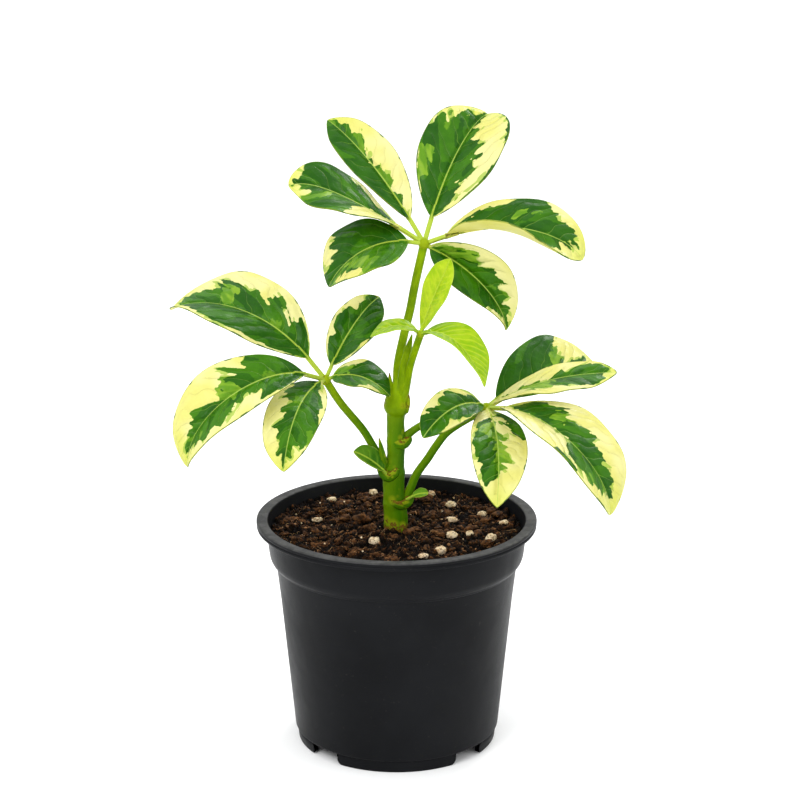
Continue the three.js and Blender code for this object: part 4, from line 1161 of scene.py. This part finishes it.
LEFT_LEAFLETS = {
    "leaflet_left_1": dict(
        bearing=155, rise=46, turn=11, droop=59, hook=15, stalk=10.5, length=62, left=16.5, right=19,
        widest=0.62, roll=23, twist=-40, cups=(2, 17, 17, 10), tones=(0.2, 0.3),
        green=([(-80, -5), (-85, 10), (-88, 40), (-92, 60), (-85, 75), (-75, 88), (-50, 94)],
               [(85, -5), (85, 5), (88, 20), (40, 22), (55, 30), (75, 35), (70, 40), (45, 40), (50, 45),
                (60, 50), (50, 55), (60, 60), (80, 75), (45, 72), (50, 86), (60, 92), (30, 95)]),
        patches=[("light", [(5, 60), (50, 60), (55, 70), (5, 68)])]),
    "leaflet_left_2": dict(
        bearing=233, rise=21, turn=-52, droop=95, hook=18, stalk=13, length=67, left=12, right=14.5,
        widest=0.65, roll=32, twist=-25, cups=(6, 15, 19, 11), tones=(0.35, 0.3),
        green=([(-60, -5), (-85, 10), (-95, 20), (-88, 43), (-45, 38), (-35, 48), (-85, 68), (-60, 70),
                (-80, 78), (-40, 85), (-20, 90), (0, 92)],
               [(110, -5), (110, 33), (95, 35), (60, 38), (85, 50), (45, 45), (40, 53), (5, 57),
                (45, 75), (25, 78), (25, 85), (20, 93), (0, 97)]),
        patches=[("light", [(2, 46), (35, 47), (40, 53), (5, 57), (-15, 52)])]),
    "leaflet_left_3": dict(
        bearing=247, rise=2, turn=14, droop=60, hook=-2, stalk=4.5, length=50, left=10.5, right=11,
        widest=0.54, roll=6, twist=-19, cups=(-6, 16, 3, 11), tones=(0.35, 0.3),
        green=([(-30, -5), (-50, 10), (-60, 20), (-75, 30), (-85, 40), (-80, 50), (-95, 60), (-110, 70),
                (-95, 80), (-70, 85), (-60, 80), (-35, 82), (-30, 88), (-15, 95), (0, 97)],
               [(110, -5), (110, 20), (85, 20), (80, 30), (70, 40), (55, 38), (30, 40), (45, 48),
                (45, 55), (55, 65), (45, 70), (50, 73), (35, 78), (40, 85), (35, 92), (5, 97)]),
        patches=[]),
    "leaflet_left_4": dict(
        bearing=52, rise=52, turn=-12, droop=17, hook=17, stalk=6, length=34.5, left=8.5, right=10.5,
        widest=0.55, roll=-20, twist=-9, cups=(11, 12, 11, 6), tones=(0.35, 0.1),
        green=([(-80, -5), (-82, 10), (-86, 20), (-80, 30), (-62, 36), (-74, 43), (-84, 52), (-80, 62),
                (-68, 70), (-42, 72), (-38, 80), (-60, 85), (-75, 92), (-110, 97)],
               [(80, -5), (85, 5), (85, 42), (110, 48), (110, 105)]),
        patches=[]),
    "leaflet_left_5": dict(
        bearing=-20, rise=24, turn=12, droop=80, hook=-8, stalk=3, length=25, left=9.5, right=10.5,
        widest=0.52, roll=-13, twist=23, cups=(13, 13, 10, 10), tones=(0.2, 0.45),
        green=([(-40, -5), (-50, 15), (-55, 30), (-80, 42), (-110, 48), (-110, 105)],
               [(110, -5), (110, 50), (85, 55), (60, 65), (70, 80), (110, 88), (110, 105)]),
        patches=[("light", [(-5, 5), (-45, 10), (-45, 28), (-5, 28)])]),
}
grow("left", LEFT_LEAFLETS, 6, variegated)


# ---- The right leaf: five leaflets, with more yellow in them. The largest hangs
# down at the front, and one reaches over the soil.

RIGHT_LEAFLETS = {
    "leaflet_right_1": dict(
        bearing=231, rise=28, turn=-11, droop=77, hook=-4, stalk=3, length=35.5, left=8, right=8,
        widest=0.53, roll=33, twist=-4, cups=(9, 14, 15, 17), tones=(0.4, 0.15),
        green=(ALL_LEFT, ALL_RIGHT),
        patches=[("yellow", [(-110, 25), (-94, 35), (-88, 50), (-75, 58), (-50, 66), (-62, 72),
                             (-82, 84), (-110, 92)]),
                 ("yellow", [(110, 84), (86, 80), (72, 70), (55, 62), (80, 54), (88, 44), (62, 36),
                             (58, 26), (70, 12), (85, -2), (110, -5)])]),
    "leaflet_right_2": dict(
        bearing=29, rise=30, turn=15, droop=51, hook=3, stalk=5, length=54.5, left=16, right=9,
        widest=0.60, roll=-25, twist=6, cups=(18, 14, -50, 0), tones=(0.15, 0.25),
        green=([(-110, -5), (-110, 72), (-70, 65), (-50, 60), (-30, 62), (-15, 65), (-12, 70),
                (-30, 85), (-45, 87), (-20, 93), (0, 95)],
               [(110, -5), (110, 70), (30, 80), (0, 95)]),
        patches=[("light", [(-50, 55), (-10, 55), (-10, 62), (-50, 66)])]),
    "leaflet_right_3": dict(
        bearing=-2, rise=32, turn=-16, droop=32, hook=-8, stalk=3.5, length=49, left=9, right=14.5,
        widest=0.55, roll=-12, twist=-16, cups=(10, 10, 13, 2), tones=(0.4, 0.35),
        green=([(0, -5), (0, 48), (-30, 52), (-50, 56), (-38, 60), (-55, 66), (-65, 72), (-85, 82),
                (-80, 88), (-50, 93), (-10, 95)],
               [(0, -5), (0, 25), (50, 35), (55, 50), (65, 60), (75, 75), (90, 88), (60, 92), (30, 88),
                (10, 90), (0, 93)]),
        patches=[("light", [(0, 25), (50, 35), (55, 50), (10, 50)])]),
    "leaflet_right_4": dict(
        bearing=-54, rise=12, turn=32, droop=81, hook=20, stalk=9.5, length=67.5, left=18.5, right=16,
        widest=0.59, roll=-2, twist=-2, cups=(16, 10, 17, 9), tones=(0.2, 0.35),
        green=([(-20, -5), (-20, 3), (-50, 10), (-85, 15), (-80, 22), (-70, 30), (-75, 36), (-50, 38),
                (-30, 42), (-50, 50), (-60, 58), (-35, 62), (-45, 69), (-30, 70), (-40, 82), (-25, 86),
                (-22, 91), (-5, 90)],
               [(0, -5), (3, 52), (5, 53), (40, 56), (75, 60), (70, 72), (80, 80), (60, 80), (50, 86),
                (10, 87), (0, 90)]),
        patches=[("light", [(-50, 33), (-25, 33), (-25, 42), (-50, 42)]),
                 ("dark", [(85, 55), (110, 55), (110, 70), (85, 70)])]),
    "leaflet_right_5": dict(
        bearing=-79, rise=-6, turn=-19, droop=42, hook=-2, stalk=2.5, length=53, left=11, right=10.5,
        widest=0.51, roll=3, twist=-2, cups=(6, 16, 7, 16), tones=(0.3, 0.25),
        green=([(6, 14), (5, 28), (3, 40), (3, 60), (8, 72)],
               [(10, 14), (20, 14), (55, 18), (72, 22), (82, 30), (85, 40), (93, 50), (86, 58),
                (80, 66), (70, 66), (72, 75), (82, 82), (70, 87), (55, 86), (40, 80), (22, 80),
                (14, 76)]),
        patches=[("light", [(12, 22), (60, 24), (60, 36), (30, 40), (12, 36)]),
                 ("dark", [(-110, 40), (-85, 46), (-80, 42), (-65, 38), (-60, 30), (-50, 20), (-35, 10),
                           (-50, 5), (-110, 10)]),
                 ("light", [(10, 36), (-13, 38), (-24, 48), (-42, 63), (-34, 69), (-20, 66), (-12, 72),
                            (10, 74)])]),
}
grow("right", RIGHT_LEAFLETS, 11, variegated)


# ---- The young leaf: three soft leaflets that have just unfolded, lime green all
# over, and two small leaves that sit on the trunk's collars.

YOUNG_LEAFLETS = {
    "leaflet_young_1": dict(
        bearing=-16, rise=73, turn=0, droop=12, hook=-13, stalk=1, length=30, left=6, right=7.5,
        widest=0.61, roll=-52, twist=-19, cups=(12, 28, 9, 15), tones=(0.9, 0.8)),
    "leaflet_young_2": dict(
        bearing=194, rise=37, turn=-11, droop=85, hook=-8, stalk=1.5, length=19, left=7, right=5.5,
        widest=0.56, roll=7, twist=-13, cups=(12, 6, 17, 3), tones=(0.4, 0.6)),
    "leaflet_young_3": dict(
        bearing=-49, rise=21, turn=14, droop=103, hook=-23, stalk=2.5, length=36.5, left=10.5, right=7,
        widest=0.54, roll=4, twist=32, cups=(22, 9, 12, 20), tones=(0.45, 0.25)),
}
SMALL_LEFT = {
    "small_leaf_left": dict(
        bearing=196, rise=50, turn=-4, droop=27, hook=0, stalk=2.8, length=15, left=2.6, right=5,
        widest=0.56, roll=50, twist=-4, cups=(12, 9, 17, 11), tones=(0.7, 0.6)),
}
SMALL_RIGHT = {
    "small_leaf_right": dict(
        bearing=-7, rise=30, turn=1, droop=33, hook=0, stalk=2.7, length=6.5, left=2.5, right=2,
        widest=0.57, roll=-30, twist=0, cups=(14, 12, 12, 12), tones=(1.0, 1.0)),
}


def lime_skin(name, gloss, deep, bright, relief):
    """The plain lime green of a leaflet that has just unfolded, paler along its veins."""
    material, skin, finish, place = new_material(name, gloss, Specular_IOR_Level=0.09)
    _, _, tone, _, margin, veins = blade_facts(finish, place)
    cloud = finish.blotches(place, 5.0, 0.3, 0.7)
    paleness = finish.times_plus(cloud, 0.5, finish.times_plus(tone, 0.8, -0.38))
    colour = finish.blend(finish.grade(paleness, 0, 1), deep, bright)
    near_vein = finish.times(finish.grade(veins["Off Vein"], 0.26, 0.02),
                            finish.grade(margin, 0.4, 2.5))
    colour = finish.blend(finish.times(near_vein, 0.6), colour, bright)
    colour = finish.blend(finish.times(veins["Midrib"], 0.7), colour, (0.42, 0.56, 0.05, 1))
    edge = finish.grade(margin, 0.3, 0.1, 0, 0.6)
    finish.put(skin["Base Color"], finish.blend(edge, colour, (0.42, 0.55, 0.05, 1)))
    finish.put(skin["Roughness"], finish.grade(cloud, 0, 1, gloss - 0.05, gloss + 0.07))
    swell = finish.blotches(place, 5.0, 0.2, 0.8)
    height = finish.times_plus(swell, 0.3, finish.times(veins["Height"], relief))
    finish.emboss(skin, height)
    return material


fresh = [lime_skin("young_face", 0.33, (0.2, 0.38, 0.001, 1), (0.44, 0.56, 0.02, 1), 0.8),
         lime_skin("young_back", 0.5, (0.2, 0.36, 0.02, 1), (0.34, 0.48, 0.05, 1), -0.8)]
ripening = [lime_skin("small_leaf_face", 0.38, (0.03, 0.13, 0.003, 1), (0.12, 0.27, 0.012, 1), 0.6),
            lime_skin("small_leaf_back", 0.5, (0.08, 0.2, 0.02, 1), (0.17, 0.3, 0.05, 1), -0.6)]
plain = dict(green=(ALL_LEFT, ALL_RIGHT), patches=[], vein_gap=3)
grow("young", YOUNG_LEAFLETS, 16, fresh, "young_leaf", **plain)
grow("small_left", SMALL_LEFT, 19, ripening, **plain)
grow("small_right", SMALL_RIGHT, 20, ripening, **plain)
